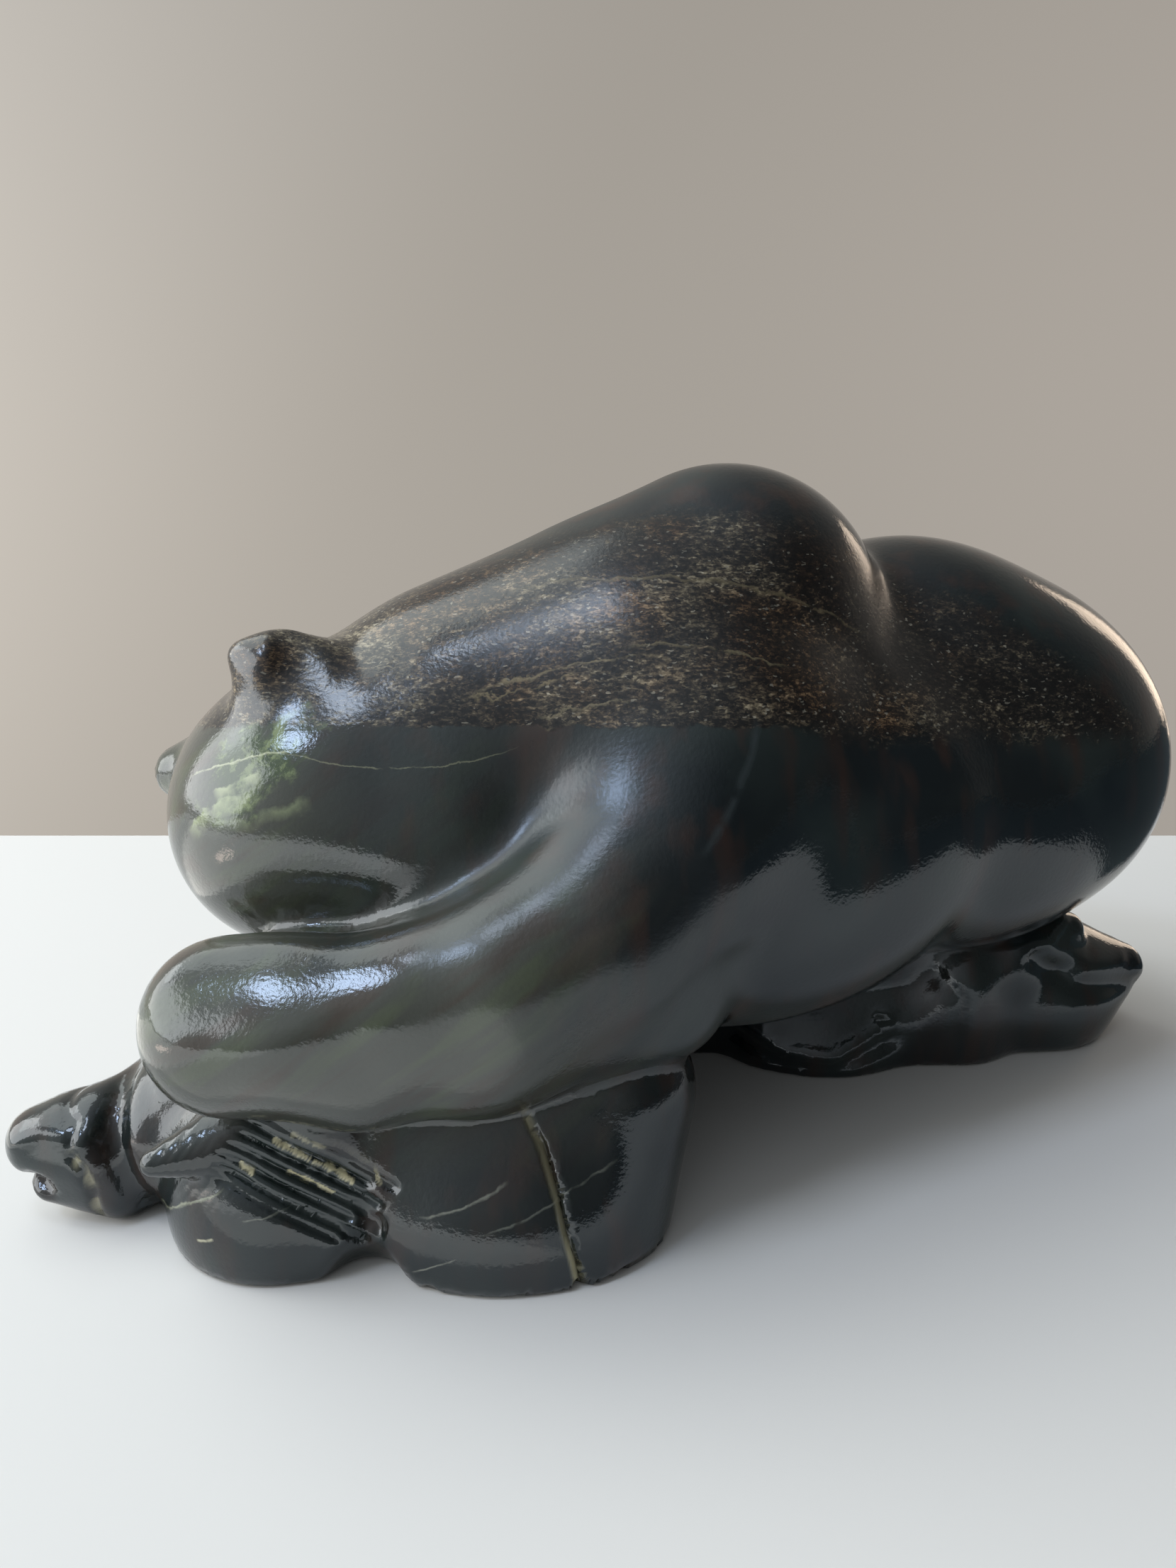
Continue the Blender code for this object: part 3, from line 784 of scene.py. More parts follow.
@dataclass
class Graph:
    """A material's or a world's nodes."""

    tree: bpy.types.NodeTree

    def add(
        self,
        kind: Kind,
        inputs: dict[int | str, object] | None = None,
        out: int | None = None,
        **settings: object,
    ) -> Socket:
        """Add a node with its settings and links.

        Args:
            kind: The node's kind.
            inputs: Values or sockets for its inputs, by their place or name.
            out: The place of the wanted output, where it isn't the kind's own.
            **settings: The node's further settings.

        Returns:
            The wanted output.
        """
        name, wanted, fixed = kind.value
        node = self.tree.nodes.new(name)
        for setting, value in (fixed | settings).items():
            setattr(node, setting, value)
        for place, value in (inputs or {}).items():
            if isinstance(value, Socket):
                self.tree.links.new(value, node.inputs[place])
            else:
                node.inputs[place].default_value = value
        return node.outputs[wanted if out is None else out]


@dataclass
class StoneGraph(Graph):
    """The stone's nodes, with the places that its patterns read.

    The places at are in millimetres. The places spot, with their x, y and z, are in hundredths of
    the drawn length.
    """

    at: Socket = field(init=False)
    spot: Socket = field(init=False)
    x: Socket = field(init=False)
    y: Socket = field(init=False)
    z: Socket = field(init=False)

    def __post_init__(self) -> None:
        """Work out the places from the piece's own coordinates, which are in metres."""
        metres = self.add(Kind.COORDINATES)
        self.at = self.add(Kind.MAPPING, {"Vector": metres, "Scale": (1000,) * 3})
        hundredths = {"Vector": metres, "Location": (*MIDDLE, 0), "Scale": (1 / UNIT,) * 3}
        self.spot = self.add(Kind.MAPPING, hundredths)
        self.x, self.y, self.z = self.add(Kind.SEPARATE, {0: self.spot}).node.outputs


@dataclass(frozen=True)
class Span:
    """A stretch of a value, from low to high, over which a share goes from start to end."""

    low: float
    high: float
    start: float = 0.0
    end: float = 1.0

    def of(self, value: Socket) -> dict[int, Socket | float]:
        """The inputs of a range node over this stretch of the value."""
        return {0: value, 1: self.low, 2: self.high, 3: self.start, 4: self.end}


@dataclass(frozen=True)
class Speckle:
    """An irregular pattern: the size of its patches in its place's unit, its detail, its crispness."""

    size: float
    detail: float
    crisp: float = 0.5

    def of(self, place: Socket) -> dict[str, Socket | float]:
        """The inputs of a noise node that draws this pattern at a place."""
        return {"Vector": place, "Scale": 1 / self.size, "Detail": self.detail, "Roughness": self.crisp}


@dataclass(frozen=True)
class Vein:
    """A healed crack or a streak of paler mineral that runs through the stone."""

    centre: Pair
    angle: float
    reach: float
    bend: float
    above: float
    below: float
    wander: float
    strength: float
    colour: str
    plane: Plane = Plane.LAYER


@dataclass(frozen=True)
class NephriteJade:
    """Nephrite jade, sawn, ground and polished to a wet gloss.

    The polish gives clear reflections over a nearly black green body. Along one layer the stone's
    crystals stand out as brown-green grains, and the fin's cuts were left unpolished and pale.
    Sizes that end in mm are real ones, and a speckle's is in the unit of its place: millimetres, or
    shares of the patch that it is drawn in. Other places are in hundredths of the drawn length.
    """

    # The body: soft clouds, rusty streaks, and a milky mist in strands on the head and the arm, partly
    # a painted lit haze
    deep: str = "#12191b"
    cloud: str = "#262e2c"
    clouds: Speckle = Speckle(34.0, 5.0)
    cloudy: Span = Span(0.42, 0.66)
    rust: str = "#33241e"
    rust_mm: Spot = (8.0, 8.0, 45.0)
    rust_streaks: Speckle = Speckle(1.0, 3.0)
    rusty: Span = Span(0.50, 0.68, 0.0, 0.75)
    mist_and_lit_haze: str = "#42443d"
    mist_green: str = "#4c543f"
    mist_rust: str = "#40332b"
    strand_mm: Spot = (52.0, 10.0, 6.0)
    strand_turn: float = -38.0
    strands: Speckle = Speckle(1.0, 4.0)
    in_strand: Span = Span(0.52, 0.64, 0.0, 0.6)
    mist_wander: float = 14.0
    # The mist keeps to the arm and the head's left, the sides that the window lights: partly the
    # stone's own mist, partly a painted lit haze
    towards_head: Span = Span(10.0, -4.0)
    off_table: Span = Span(8.0, 16.0, 0.1, 1.0)
    arm_slope: float = -0.35
    below_shoulder: Span = Span(33.5, 30.0)
    on_cheek: Span = Span(-18.0, -27.0)
    least_mist: Span = Span(0.0, 1.0, 0.2, 1.0)

    # The grained layer: how it leans, where it starts and where it ends
    layer_lean: float = 0.256
    tears: Speckle = Speckle(5.0, 4.0)
    torn: Span = Span(0.3, 0.7, -0.35, 0.35)
    low_edge: Span = Span(6.0, 15.0, 33.0, 31.0)
    low_width: Span = Span(7.0, 13.0, 0.25, 2.6)
    crest: float = 48.5
    crest_at: float = 4.0
    crest_fall: float = 0.012
    crest_reach: float = -15.0
    high_width: Span = Span(1.6, -1.6)

    # Its crystals, from the darkest to the palest
    grains: tuple[tuple[float, str], ...] = (
        (0.36, "#12110f"),
        (0.46, "#25211c"),
        (0.54, "#3a342b"),
        (0.63, "#5e5646"),
        (0.76, "#9c937c"),
    )
    grain_mm: float = 0.42
    grain_tilt: float = 0.12
    grain_squeeze: Spot = (0.6, 0.8, 1.25)
    grain_warp: Spot = (0.9, 0.9, 0.9)
    grain_chance: float = 0.20
    bends: Speckle = Speckle(1 / 1.2, 2.0)
    flecks: Speckle = Speckle(1.4, 5.0, 0.75)
    drifts: Speckle = Speckle(16.0, 2.0)
    drift: float = 0.5
    # Painted shade: the crystals' tone falls towards the right, away from the window light
    painted_shade_rightward: Span = Span(1.0, 15.0, -0.37, -0.44)
    brown_tint: str = "#e6c8b4"
    browns: Speckle = Speckle(22.0, 2.0)
    browner: Span = Span(0.45, 0.6)
    # Painted glints: pale specks in the colour that stand in for sparkle on the polish
    glint: str = "#cfcab8"
    glinting: Span = Span(0.975, 0.985, 0.0, 0.45)

    # The green cloud on the head
    green: str = "#3c4a2e"
    green_pale: str = "#76835a"
    green_centre: Spot = (-27.5, -17.5, 34.6)
    green_size: Spot = (5.6, 7.0, 3.6)
    green_turn: float = -42.0
    green_rags: Speckle = Speckle(1 / 1.6, 6.0, 0.6)
    green_tears: float = -2.6
    green_edge: Span = Span(-0.35, -0.85, 0.0, 0.85)
    green_flakes: Speckle = Speckle(1 / 3.1, 8.0, 0.7)
    green_core: Span = Span(0.50, 0.58)

    # The unpolished cuts, and how rough each surface is
    cut: str = "#cbc5a2"
    fin: str = "#1c2523"
    refraction: float = 1.66
    reflected: str = "#f0f7ff"
    rough_body: Span = Span(0.0, 1.0, 0.08, 0.12)
    rough_layer: Span = Span(-14.0, -8.0, 0.16, 0.27)
    rough_arm: float = 0.265
    rough_fin: float = 0.22
    rough_cut: float = 0.55
    arm_top: Span = Span(14.0, 18.0)
    arm_ends: tuple[Span, Span] = (Span(-19.0, -14.0), Span(8.0, 3.0))
    lapping: Speckle = Speckle(1 / 1.1, 3.0)
    lapping_mm: float = 0.05

    # Where the veins wander and fade
    wander: Speckle = Speckle(6.0, 5.0, 0.6)
    patches: Speckle = Speckle(4.0, 3.0)
    patchy: Span = Span(0.30, 0.50)
    veins: tuple[Vein, ...] = (
        Vein((3.0, 43.7), -5.4, 14.0, -0.0127, 0.10, 0.25, 1.8, 0.65, "#675e47"),
        Vein((-6.0, 37.4), 12.0, 7.0, -0.022, 0.10, 0.22, 2.2, 0.65, "#857a5e"),
        Vein((3.5, 38.6), -8.0, 6.0, -0.020, 0.08, 0.20, 2.2, 0.6, "#7a7056"),
        Vein((-4.6, 34.4), 9.0, 3.6, 0.0, 0.10, 0.18, 2.4, 0.6, "#857c63"),
        Vein((-9.0, 35.6), 16.0, 4.2, 0.02, 0.08, 0.18, 2.6, 0.6, "#85795c"),
        Vein((-18.0, 30.15), -1.0, 8.8, 0.022, 0.07, 0.07, 0.9, 0.55, "#8d8e74"),
        Vein((-28.2, 30.75), 14.0, 4.4, -0.010, 0.10, 0.13, 1.1, 0.8, "#b5b99a"),
        Vein((-28.3, 34.0), 28.0, 2.0, -0.06, 0.12, 1.1, 1.5, 0.8, "#a3ab86", Plane.FACE),
        Vein((-29.7, 32.3), 32.0, 3.3, -0.03, 0.14, 1.2, 1.7, 0.8, "#98a27c", Plane.FACE),
        Vein((-26.5, 31.9), 16.0, 3.8, 0.0, 0.4, 0.8, 1.8, 0.55, "#828c6b", Plane.FACE),
        Vein((5.3, 34.0), 62.0, 4.6, 0.032, 0.45, 0.45, 0.5, 0.7, "#343b3d", Plane.FACE),
        Vein((-32.7, 5.0), 35.0, 4.1, 0.0, 0.10, 0.16, 0.9, 0.8, "#8f937f", Plane.FACE),
        Vein((-26.4, 5.6), 9.0, 1.7, 0.0, 0.08, 0.12, 0.6, 0.7, "#83867a", Plane.FACE),
        Vein((-30.9, 3.35), 22.0, 0.8, 0.0, 0.12, 0.16, 0.4, 0.9, "#b9b79c", Plane.FACE),
        Vein((-15.1, 2.3), 27.0, 1.8, 0.0, 0.08, 0.10, 0.5, 0.7, "#94968a", Plane.FACE),
        Vein((-13.0, 6.4), 22.0, 3.4, 0.02, 0.10, 0.14, 0.7, 0.75, "#8d9085", Plane.FACE),
        Vein((-7.2, 6.3), 22.0, 5.2, 0.01, 0.10, 0.14, 0.9, 0.65, "#787c73", Plane.FACE),
    )

    def material(self) -> bpy.types.Material:
        """Make the material."""
        stone = bpy.data.materials.new("polished_nephrite_jade")
        stone.use_nodes = True
        graph = StoneGraph(stone.node_tree)
        colour, mist_and_lit_haze = self.ground(graph)
        layer, height = self.layer(graph)
        colour = graph.add(Kind.MIX, {0: layer, 6: colour, 7: self.crystals(graph)})
        colour = self.green_cloud(graph, colour)
        colour = self.healed_cracks(graph, height, colour)

        fin = graph.add(Kind.ATTRIBUTE, attribute_name="fin_rays")
        raw = graph.add(Kind.ATTRIBUTE, attribute_name="left_as_cut")
        for share, code in ((fin, self.fin), (raw, self.cut)):
            colour = graph.add(Kind.MIX, {0: share, 6: colour, 7: linear(code)})
        rough = self.roughness(graph, mist_and_lit_haze, layer, fin, raw)
        lapped = graph.add(Kind.NOISE, self.lapping.of(graph.at))
        height = {"Strength": 1.0, "Distance": self.lapping_mm / 1000, "Height": lapped}
        bump = graph.add(Kind.BUMP, height)
        shader = stone.node_tree.nodes["Principled BSDF"]
        for name, made in (("Base Color", colour), ("Roughness", rough), ("Normal", bump)):
            stone.node_tree.links.new(made, shader.inputs[name])
        shader.inputs["IOR"].default_value = self.refraction
        shader.inputs["Specular Tint"].default_value = linear(self.reflected)
        return stone

    def roughness(
        self, graph: StoneGraph, mist_and_lit_haze: Socket, layer: Socket, fin: Socket, raw: Socket
    ) -> Socket:
        """How rough the polish is, from the wet gloss of the body to the dull cuts.

        Args:
            graph: The stone's nodes.
            mist_and_lit_haze: The share of the mist with its painted lit haze.
            layer: The grained layer's share.
            fin: The fin rays' share.
            raw: The share that was left as cut.

        Returns:
            The roughness.
        """
        grained = graph.add(Kind.RANGE, self.rough_layer.of(graph.x))
        rough = graph.add(Kind.RANGE, self.rough_body.of(mist_and_lit_haze))
        rough = graph.add(Kind.RANGE, {0: layer, 3: rough, 4: grained})
        arm = graph.add(Kind.RANGE, self.arm_top.of(graph.z))
        for end in self.arm_ends:
            arm = graph.add(Kind.PRODUCT, {0: arm, 1: graph.add(Kind.EASE, end.of(graph.x))})
        under = graph.add(Kind.DIFFERENCE, {0: 1.0, 1: layer})
        arm = graph.add(Kind.PRODUCT, {0: arm, 1: under})
        for share, most in ((arm, self.rough_arm), (fin, self.rough_fin), (raw, self.rough_cut)):
            own = graph.add(Kind.PRODUCT, {0: share, 1: most})
            rough = graph.add(Kind.LARGER, {0: rough, 1: own})
        return rough

    def ground(self, graph: StoneGraph) -> tuple[Socket, Socket]:
        """The deep green-black body, with rusty streaks, and a greyer mist towards the head, partly a
        painted lit haze.

        Args:
            graph: The stone's nodes.

        Returns:
            The colour, and the mist's share.
        """
        clouds = graph.add(Kind.NOISE, self.clouds.of(graph.at))
        clouds = graph.add(Kind.RANGE, self.cloudy.of(clouds))
        body = graph.add(Kind.MIX, {0: clouds, 6: linear(self.deep), 7: linear(self.cloud)})
        thin = tuple(1 / size for size in self.rust_mm)
        drawn = graph.add(Kind.MAPPING, {"Vector": graph.at, "Scale": thin})
        streaks = graph.add(Kind.NOISE, self.rust_streaks.of(drawn))
        streaks = graph.add(Kind.RANGE, self.rusty.of(streaks))
        body = graph.add(Kind.MIX, {0: streaks, 6: body, 7: linear(self.rust)})

        turn = (0, math.radians(self.strand_turn), 0)
        flow = graph.add(Kind.PATCH, {"Vector": graph.at, "Rotation": turn, "Scale": self.strand_mm})
        flow = graph.add(Kind.NOISE, self.strands.of(flow), 1)
        green, rusty, wander = graph.add(Kind.SEPARATE, {0: flow}).node.outputs
        mist_and_haze_colour = linear(self.mist_and_lit_haze)
        for strand, code in ((green, self.mist_green), (rusty, self.mist_rust)):
            share = graph.add(Kind.RANGE, self.in_strand.of(strand))
            mist_and_haze_colour = graph.add(Kind.MIX, {0: share, 6: mist_and_haze_colour, 7: linear(code)})
        share = graph.add(Kind.PRODUCT_AND_SUM, {0: wander, 1: self.mist_wander, 2: graph.x})
        share = graph.add(Kind.EASE, self.towards_head.of(share))
        above = graph.add(Kind.RANGE, self.off_table.of(graph.z))
        share = graph.add(Kind.PRODUCT, {0: share, 1: above})
        # Painted lit haze: the mist is kept to the arm and the head's left, where the window light
        # falls
        over = graph.add(Kind.PRODUCT_AND_SUM, {0: graph.x, 1: self.arm_slope, 2: graph.z})
        arm = graph.add(Kind.EASE, self.below_shoulder.of(over))
        cheek = graph.add(Kind.EASE, self.on_cheek.of(graph.x))
        painted_lit_haze = graph.add(Kind.LARGER, {0: arm, 1: cheek})
        painted_lit_haze = graph.add(Kind.RANGE, self.least_mist.of(painted_lit_haze))
        share = graph.add(Kind.PRODUCT, {0: share, 1: painted_lit_haze})
        return graph.add(Kind.MIX, {0: share, 6: body, 7: mist_and_haze_colour}), share

    def layer(self, graph: StoneGraph) -> tuple[Socket, Socket]:
        """Where the grained layer lies.

        Args:
            graph: The stone's nodes.

        Returns:
            The layer's share, and each place's height across the layers.
        """
        height = graph.add(Kind.PRODUCT_AND_SUM, {0: graph.y, 1: self.layer_lean, 2: graph.z})
        torn = graph.add(Kind.NOISE, self.tears.of(graph.at))
        torn = graph.add(Kind.RANGE, self.torn.of(torn))
        edge = graph.add(Kind.SUM, {0: height, 1: torn})
        low = graph.add(Kind.EASE, self.low_edge.of(graph.x))
        width = graph.add(Kind.RANGE, self.low_width.of(graph.x))
        high = graph.add(Kind.SUM, {0: low, 1: width})
        above = graph.add(Kind.EASE, {0: edge, 1: low, 2: high})
        off = graph.add(Kind.DIFFERENCE, {0: graph.x, 1: self.crest_at})
        off = graph.add(Kind.LARGER, {0: off, 1: self.crest_reach})
        square = graph.add(Kind.PRODUCT, {0: off, 1: off})
        top = graph.add(Kind.PRODUCT_AND_SUM, {0: square, 1: -self.crest_fall, 2: self.crest})
        past = graph.add(Kind.DIFFERENCE, {0: edge, 1: top})
        under = graph.add(Kind.EASE, self.high_width.of(past))
        return graph.add(Kind.PRODUCT, {0: above, 1: under}), height

    def crystals(self, graph: StoneGraph) -> Socket:
        """The colour of the layer's crystals: flecks that lie along it, brightest near the head, with
        painted shade to the right and painted glints.
        """
        flat = {"Vector": graph.at, "Rotation": (0, self.grain_tilt, 0), "Scale": self.grain_squeeze}
        flat = graph.add(Kind.MAPPING, flat)
        warp = graph.add(Kind.NOISE, self.bends.of(flat), 1)
        bent = {0: warp, 1: self.grain_warp, 2: flat}
        bent = graph.add(Kind.VECTOR, bent, operation="MULTIPLY_ADD")
        cells = graph.add(Kind.CELLS, {"Vector": bent, "Scale": 1 / self.grain_mm})
        chance, luck, _ = graph.add(Kind.SEPARATE, {0: cells}).node.outputs
        tone = graph.add(Kind.NOISE, self.flecks.of(flat))
        tone = graph.add(Kind.PRODUCT_AND_SUM, {0: chance, 1: self.grain_chance, 2: tone})
        drift = graph.add(Kind.NOISE, self.drifts.of(flat))
        tone = graph.add(Kind.PRODUCT_AND_SUM, {0: drift, 1: self.drift, 2: tone})
        # Painted shade: the tone falls towards the right
        tone = graph.add(Kind.SUM, {0: tone, 1: graph.add(Kind.EASE, self.painted_shade_rightward.of(graph.x))})
        colour = graph.add(Kind.RAMP, {0: tone})
        ramp = colour.node.color_ramp
        while len(ramp.elements) < len(self.grains):
            ramp.elements.new(0.5)
        for element, (place, code) in zip(ramp.elements, self.grains):
            element.position = place
            element.color = linear(code)
        tint = graph.add(Kind.NOISE, self.browns.of(graph.at))
        tint = graph.add(Kind.RANGE, self.browner.of(tint))
        tinted = {0: tint, 6: colour, 7: linear(self.brown_tint)}
        colour = graph.add(Kind.MIX, tinted, blend_type="MULTIPLY")
        # Painted glints: pale specks, strongest where the tone is brightest
        spark = graph.add(Kind.RANGE, self.glinting.of(luck))
        spark = graph.add(Kind.PRODUCT, {0: spark, 1: tone})
        return graph.add(Kind.MIX, {0: spark, 6: colour, 7: linear(self.glint)})

    def green_cloud(self, graph: StoneGraph, colour: Socket) -> Socket:
        """Lay the ragged green cloud over the near side of the head.

        Args:
            graph: The stone's nodes.
            colour: The colour under it.

        Returns:
            The colour with the cloud.
        """
        turn = (0, math.radians(self.green_turn), 0)
        place = {"Vector": graph.spot, "Location": self.green_centre, "Rotation": turn}
        near = graph.add(Kind.PATCH, place | {"Scale": self.green_size})
        tears = graph.add(Kind.NOISE, self.green_rags.of(near))
        far = graph.add(Kind.VECTOR, {0: near}, 1, operation="LENGTH")
        edge = graph.add(Kind.PRODUCT_AND_SUM, {0: tears, 1: self.green_tears, 2: far})
        share = graph.add(Kind.EASE, self.green_edge.of(edge))
        pale = graph.add(Kind.NOISE, self.green_flakes.of(near))
        pale = graph.add(Kind.RANGE, self.green_core.of(pale))
        green = graph.add(Kind.MIX, {0: pale, 6: linear(self.green), 7: linear(self.green_pale)})
        return graph.add(Kind.MIX, {0: share, 6: colour, 7: green})

    def healed_cracks(self, graph: StoneGraph, height: Socket, colour: Socket) -> Socket:
        """Draw each vein over the colour.

        Args:
            graph: The stone's nodes.
            height: Each place's height across the layers.
            colour: The colour under them.

        Returns:
            The colour with the veins.
        """
        planes = {
            Plane.FACE: graph.add(Kind.COMBINE, {0: graph.x, 1: graph.z}),
            Plane.LAYER: graph.add(Kind.COMBINE, {0: graph.x, 1: height}),
        }
        wander = graph.add(Kind.NOISE, self.wander.of(graph.at))
        wander = graph.add(Kind.DIFFERENCE, {0: wander, 1: 0.5})
        patchy = graph.add(Kind.NOISE, self.patches.of(graph.at))
        patchy = graph.add(Kind.RANGE, self.patchy.of(patchy))
        for vein in self.veins:
            turn = (0, 0, math.radians(vein.angle))
            place = {"Vector": planes[vein.plane], "Location": (*vein.centre, 0), "Rotation": turn}
            local = graph.add(Kind.PATCH, place)
            along, across, _ = graph.add(Kind.SEPARATE, {0: local}).node.outputs
            square = graph.add(Kind.PRODUCT, {0: along, 1: along})
            off = graph.add(Kind.PRODUCT_AND_SUM, {0: square, 1: -vein.bend, 2: across})
            off = graph.add(Kind.PRODUCT_AND_SUM, {0: wander, 1: vein.wander, 2: off})
            reach = vein.reach**2
            share = patchy
            for value, span in (
                (off, Span(vein.above, 0.0)),
                (off, Span(-vein.below, 0.0)),
                (square, Span(reach, 0.5 * reach)),
            ):
                near = graph.add(Kind.RANGE, span.of(value))
                share = graph.add(Kind.PRODUCT, {0: share, 1: near})
            share = graph.add(Kind.PRODUCT, {0: share, 1: vein.strength})
            colour = graph.add(Kind.MIX, {0: share, 6: colour, 7: linear(vein.colour)})
        return colour


@dataclass(frozen=True)
class Softbox:
    """A soft studio light: a glowing rectangle that faces the carving."""

    name: str
    place: Spot
    size: Pair
    power: float
    colour: str


@dataclass(frozen=True)
class Glow:
    """A soft glow of the room from one direction."""

    way: Spot
    sharpness: float
    level: float
    colour: str


@dataclass(frozen=True)
class PaintedReflectionCard:
    """A dark or glowing card that lies on the table and that only the polish sees: a painted
    reflection, of shade or of light.
    """

    name: str
    place: Spot
    size: Pair
    turn: float
    colour: str
    glow: float


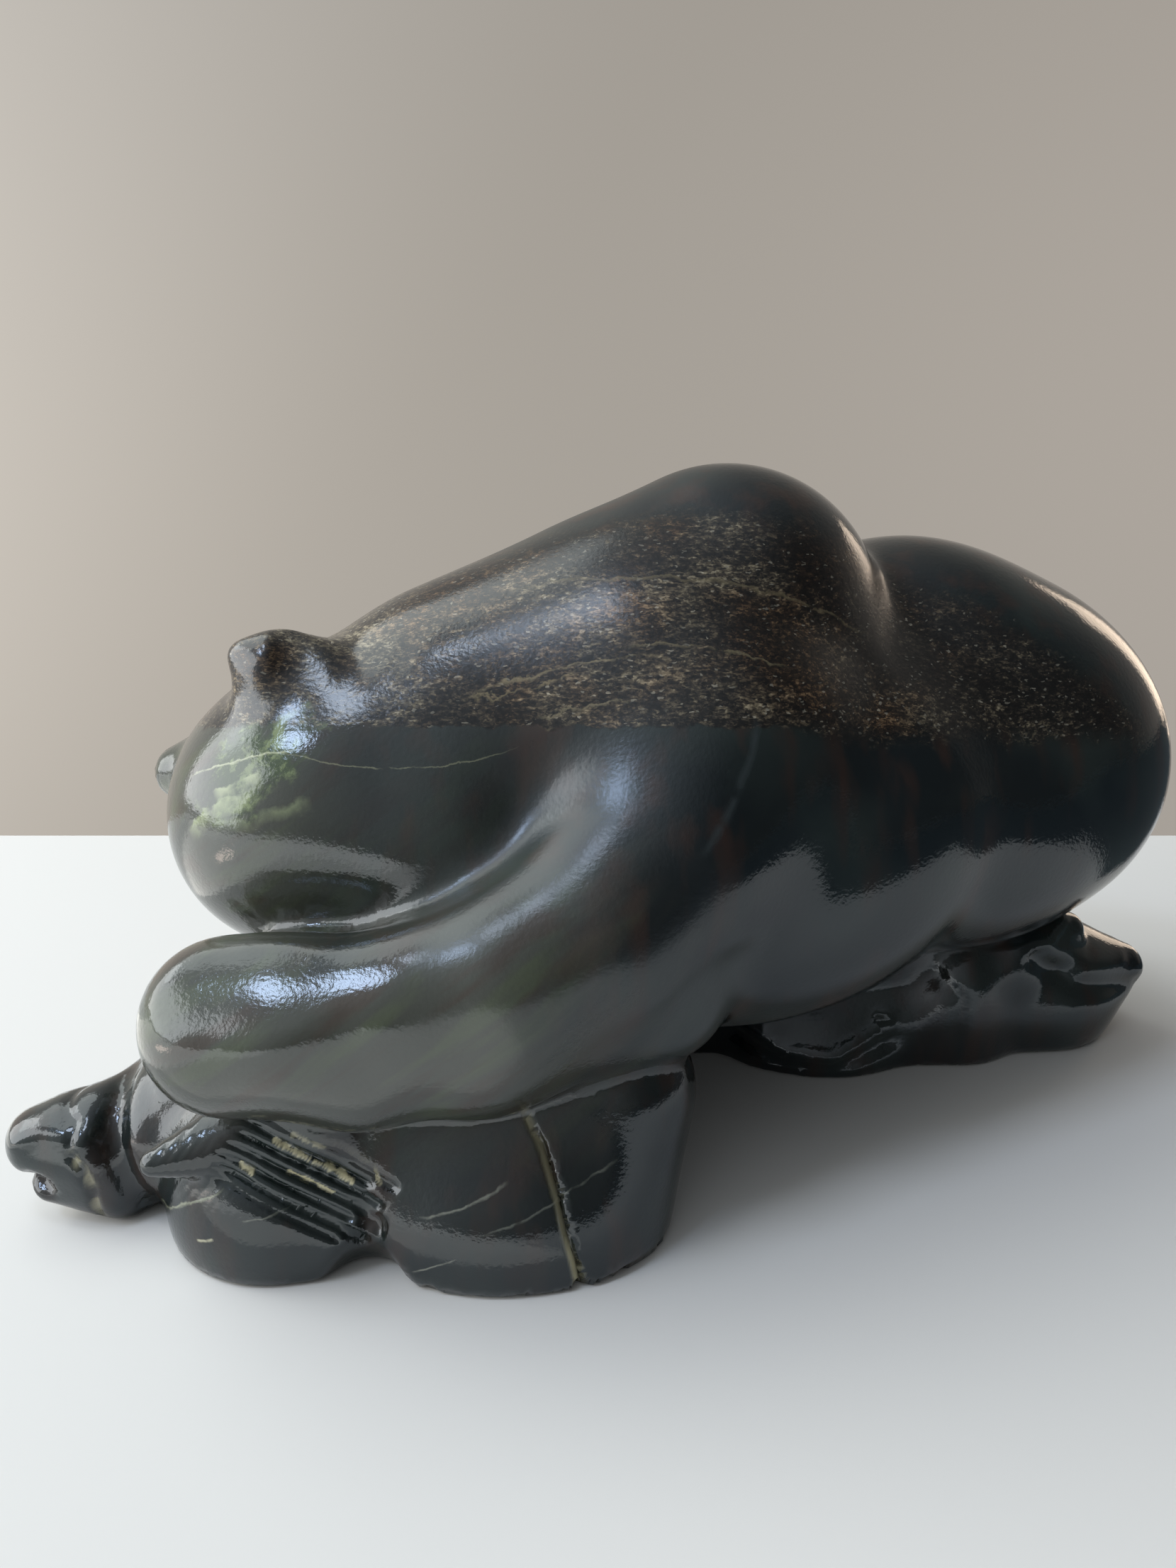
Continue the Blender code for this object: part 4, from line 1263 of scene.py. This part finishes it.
@dataclass
class Studio:
    """A pale table, soft lights, a soft room, cards that paint reflections, and the camera."""

    floor_colour: str = "#e4e4e2"
    floor_size: Pair = (8.0, 4.0)
    floor_far_edge: float = 0.19
    floor_drop: float = 0.0002
    floor_roughness: float = 0.75
    card_roughness: float = 0.95
    base_level: float = 0.055
    lens_mm: float = 27.0
    camera_at: Spot = (-4.6, -94.0, 57.0)
    pitch_down: float = 17.05
    aim: Spot = (0.0, 0.0, 0.06)
    glows: tuple[Glow, ...] = (
        Glow((0.0, 1.0, -0.05), 0.8, 0.27, "#fff5e6"),
        Glow((-0.75, 0.66, -0.05), 6.0, 0.38, "#fff4e6"),
        Glow((0.60, 0.80, 0.0), 6.0, 0.12, "#ffefe4"),
        Glow((-0.76, -0.10, 0.64), 1.5, 0.45, "#eef3f6"),
        Glow((-0.30, -0.20, 0.93), 5.0, 0.35, "#e6eef8"),
        Glow((-0.92, -0.38, 0.10), 6.0, 0.80, "#f2f3f0"),
        Glow((0.05, -1.00, 0.25), 7.0, 0.20, "#f0f2f2"),
    )
    lights: tuple[Softbox, ...] = (
        Softbox("window_left", (-1.1, -0.15, 0.5), (1.3, 0.9), 13.0, "#f6f5f2"),
        Softbox("skylight", (-0.36, -0.28, 1.52), (0.34, 0.26), 2.5, "#dbe6f6"),
        Softbox("sky_window", (-0.755, -0.539, 1.304), (0.34, 0.20), 3.6, "#c6d8f2"),
        Softbox("high_left_window", (-0.84, 0.39, 1.18), (1.1, 1.0), 6.9, "#eef3ee"),
        Softbox("warm_right", (0.88, 0.80, 0.23), (0.26, 0.70), 1.5, "#ffe6cc"),
    )
    # Painted reflections: dark cards for the table in the carving's shade and the dim room, glowing
    # ones for the lit table and a sunlit spot
    cards: tuple[PaintedReflectionCard, ...] = (
        PaintedReflectionCard("painted_shade_reflection", (2.224, -0.003, 0.0008), (3.25, 2.5), -39, "#343a3e", 1.0),
        PaintedReflectionCard("painted_dark_room_reflection", (1.277, -1.982, 0.001), (4.0, 1.75), -45, "#343a3e", 1.0),
        PaintedReflectionCard("painted_lit_table_reflection", (-0.72, -0.40, 0.0008), (1.1, 0.9), 0, "#f4f2ec", 1.0),
        PaintedReflectionCard("painted_lit_front_reflection", (-0.10, -0.26, 0.0006), (0.19, 0.34), 0, "#f4f2ec", 0.4),
        PaintedReflectionCard("painted_sunlit_spot_reflection", (-0.29, -0.15, 0.0012), (0.03, 0.10), -25, "#ffe9da", 6.0),
    )

    def plain(self, name: str, code: str, roughness: float) -> bpy.types.Material:
        """A plain matt material."""
        material = bpy.data.materials.new(name)
        material.use_nodes = True
        shader = material.node_tree.nodes["Principled BSDF"]
        shader.inputs["Base Color"].default_value = linear(code)
        shader.inputs["Roughness"].default_value = roughness
        shader.inputs["Specular IOR Level"].default_value = 0.0
        return material

    def sheet(self, name: str, size: Pair, place: Spot, turn: float) -> bpy.types.Object:
        """A flat, level rectangle with its middle at a place."""
        square = bmesh.new()
        bmesh.ops.create_grid(square, x_segments=1, y_segments=1, size=0.5)
        bmesh.ops.scale(square, verts=square.verts[:], vec=(*size, 1))
        data = bpy.data.meshes.new(name)
        square.to_mesh(data)
        square.free()
        sheet = bpy.data.objects.new(name, data)
        sheet.location = place
        sheet.rotation_euler = (0, 0, math.radians(turn))
        bpy.context.scene.collection.objects.link(sheet)
        return sheet

    def light(self, box: Softbox) -> None:
        """Place one softbox so that it faces the carving."""
        data = bpy.data.lights.new(box.name, "AREA")
        data.shape = "RECTANGLE"
        data.size, data.size_y = box.size
        data.energy = box.power
        data.color = linear(box.colour)[:3]
        lamp = bpy.data.objects.new(box.name, data)
        lamp.location = box.place
        way = Vector(self.aim) - Vector(box.place)
        lamp.rotation_euler = way.to_track_quat("-Z", "Y").to_euler()
        bpy.context.scene.collection.objects.link(lamp)

    def room(self) -> bpy.types.World:
        """A room of soft glows, warm at the wall behind and dim towards the camera."""
        world = bpy.data.worlds.new("soft_room")
        world.use_nodes = True
        graph = Graph(world.node_tree)
        way = graph.add(Kind.COORDINATES, out=0)
        light = (self.base_level,) * 3
        for glow in self.glows:
            facing = graph.add(Kind.VECTOR, {0: way, 1: unit(glow.way)}, 1, operation="DOT_PRODUCT")
            facing = graph.add(Kind.LARGER, {0: facing, 1: 0.0})
            share = graph.add(Kind.POWER, {0: facing, 1: glow.sharpness})
            tint = [glow.level * part for part in linear(glow.colour)[:3]]
            light = graph.add(Kind.VECTOR, {0: share, 1: tint, 2: light}, operation="MULTIPLY_ADD")
        back = world.node_tree.nodes["Background"]
        world.node_tree.links.new(light, back.inputs["Color"])
        return world

    def camera(self) -> bpy.types.Object:
        """The camera, at the photograph's viewing angle."""
        eye = bpy.data.cameras.new("camera")
        eye.lens = self.lens_mm
        eye.sensor_width = 36.0
        camera = bpy.data.objects.new("camera", eye)
        x, y, z = self.camera_at
        camera.location = ((x - MIDDLE[0]) * UNIT, (y - MIDDLE[1]) * UNIT, z * UNIT)
        camera.rotation_euler = (math.radians(90 - self.pitch_down), 0, 0)
        bpy.context.scene.collection.objects.link(camera)
        return camera

    def build(self) -> None:
        """Make the floor, the lights, the cards, the room and the camera."""
        place = (0, self.floor_far_edge - self.floor_size[1] / 2, -self.floor_drop)
        floor = self.sheet("floor", self.floor_size, place, 0)
        white = self.plain("matt_plaster_white", self.floor_colour, self.floor_roughness)
        floor.data.materials.append(white)
        for card in self.cards:
            # Each card is a painted reflection: it glows or darkens only in the polish
            sheet = self.sheet(card.name, card.size, card.place, card.turn)
            paper = self.plain(card.name, card.colour, self.card_roughness)
            shader = paper.node_tree.nodes["Principled BSDF"]
            shader.inputs["Emission Color"].default_value = linear(card.colour)
            shader.inputs["Emission Strength"].default_value = card.glow
            sheet.data.materials.append(paper)
            sheet.visible_camera = False
            sheet.visible_diffuse = False
            sheet.visible_shadow = False
            sheet.visible_transmission = False
        for box in self.lights:
            self.light(box)
        bpy.context.scene.world = self.room()
        bpy.context.scene.camera = self.camera()
        bpy.context.scene.view_settings.view_transform = "Standard"


def main() -> None:
    """Build the carving and the studio."""
    logging.basicConfig(level=logging.INFO, format="%(name)s: %(message)s")
    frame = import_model()
    carving = Carving()
    piece = carving.build(frame["nodes"][carving.node], NephriteJade().material())
    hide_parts(carving.node)
    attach(piece, "root")
    Studio().build()
    LOG.info("studio ready")


if __name__ == "__main__":
    main()
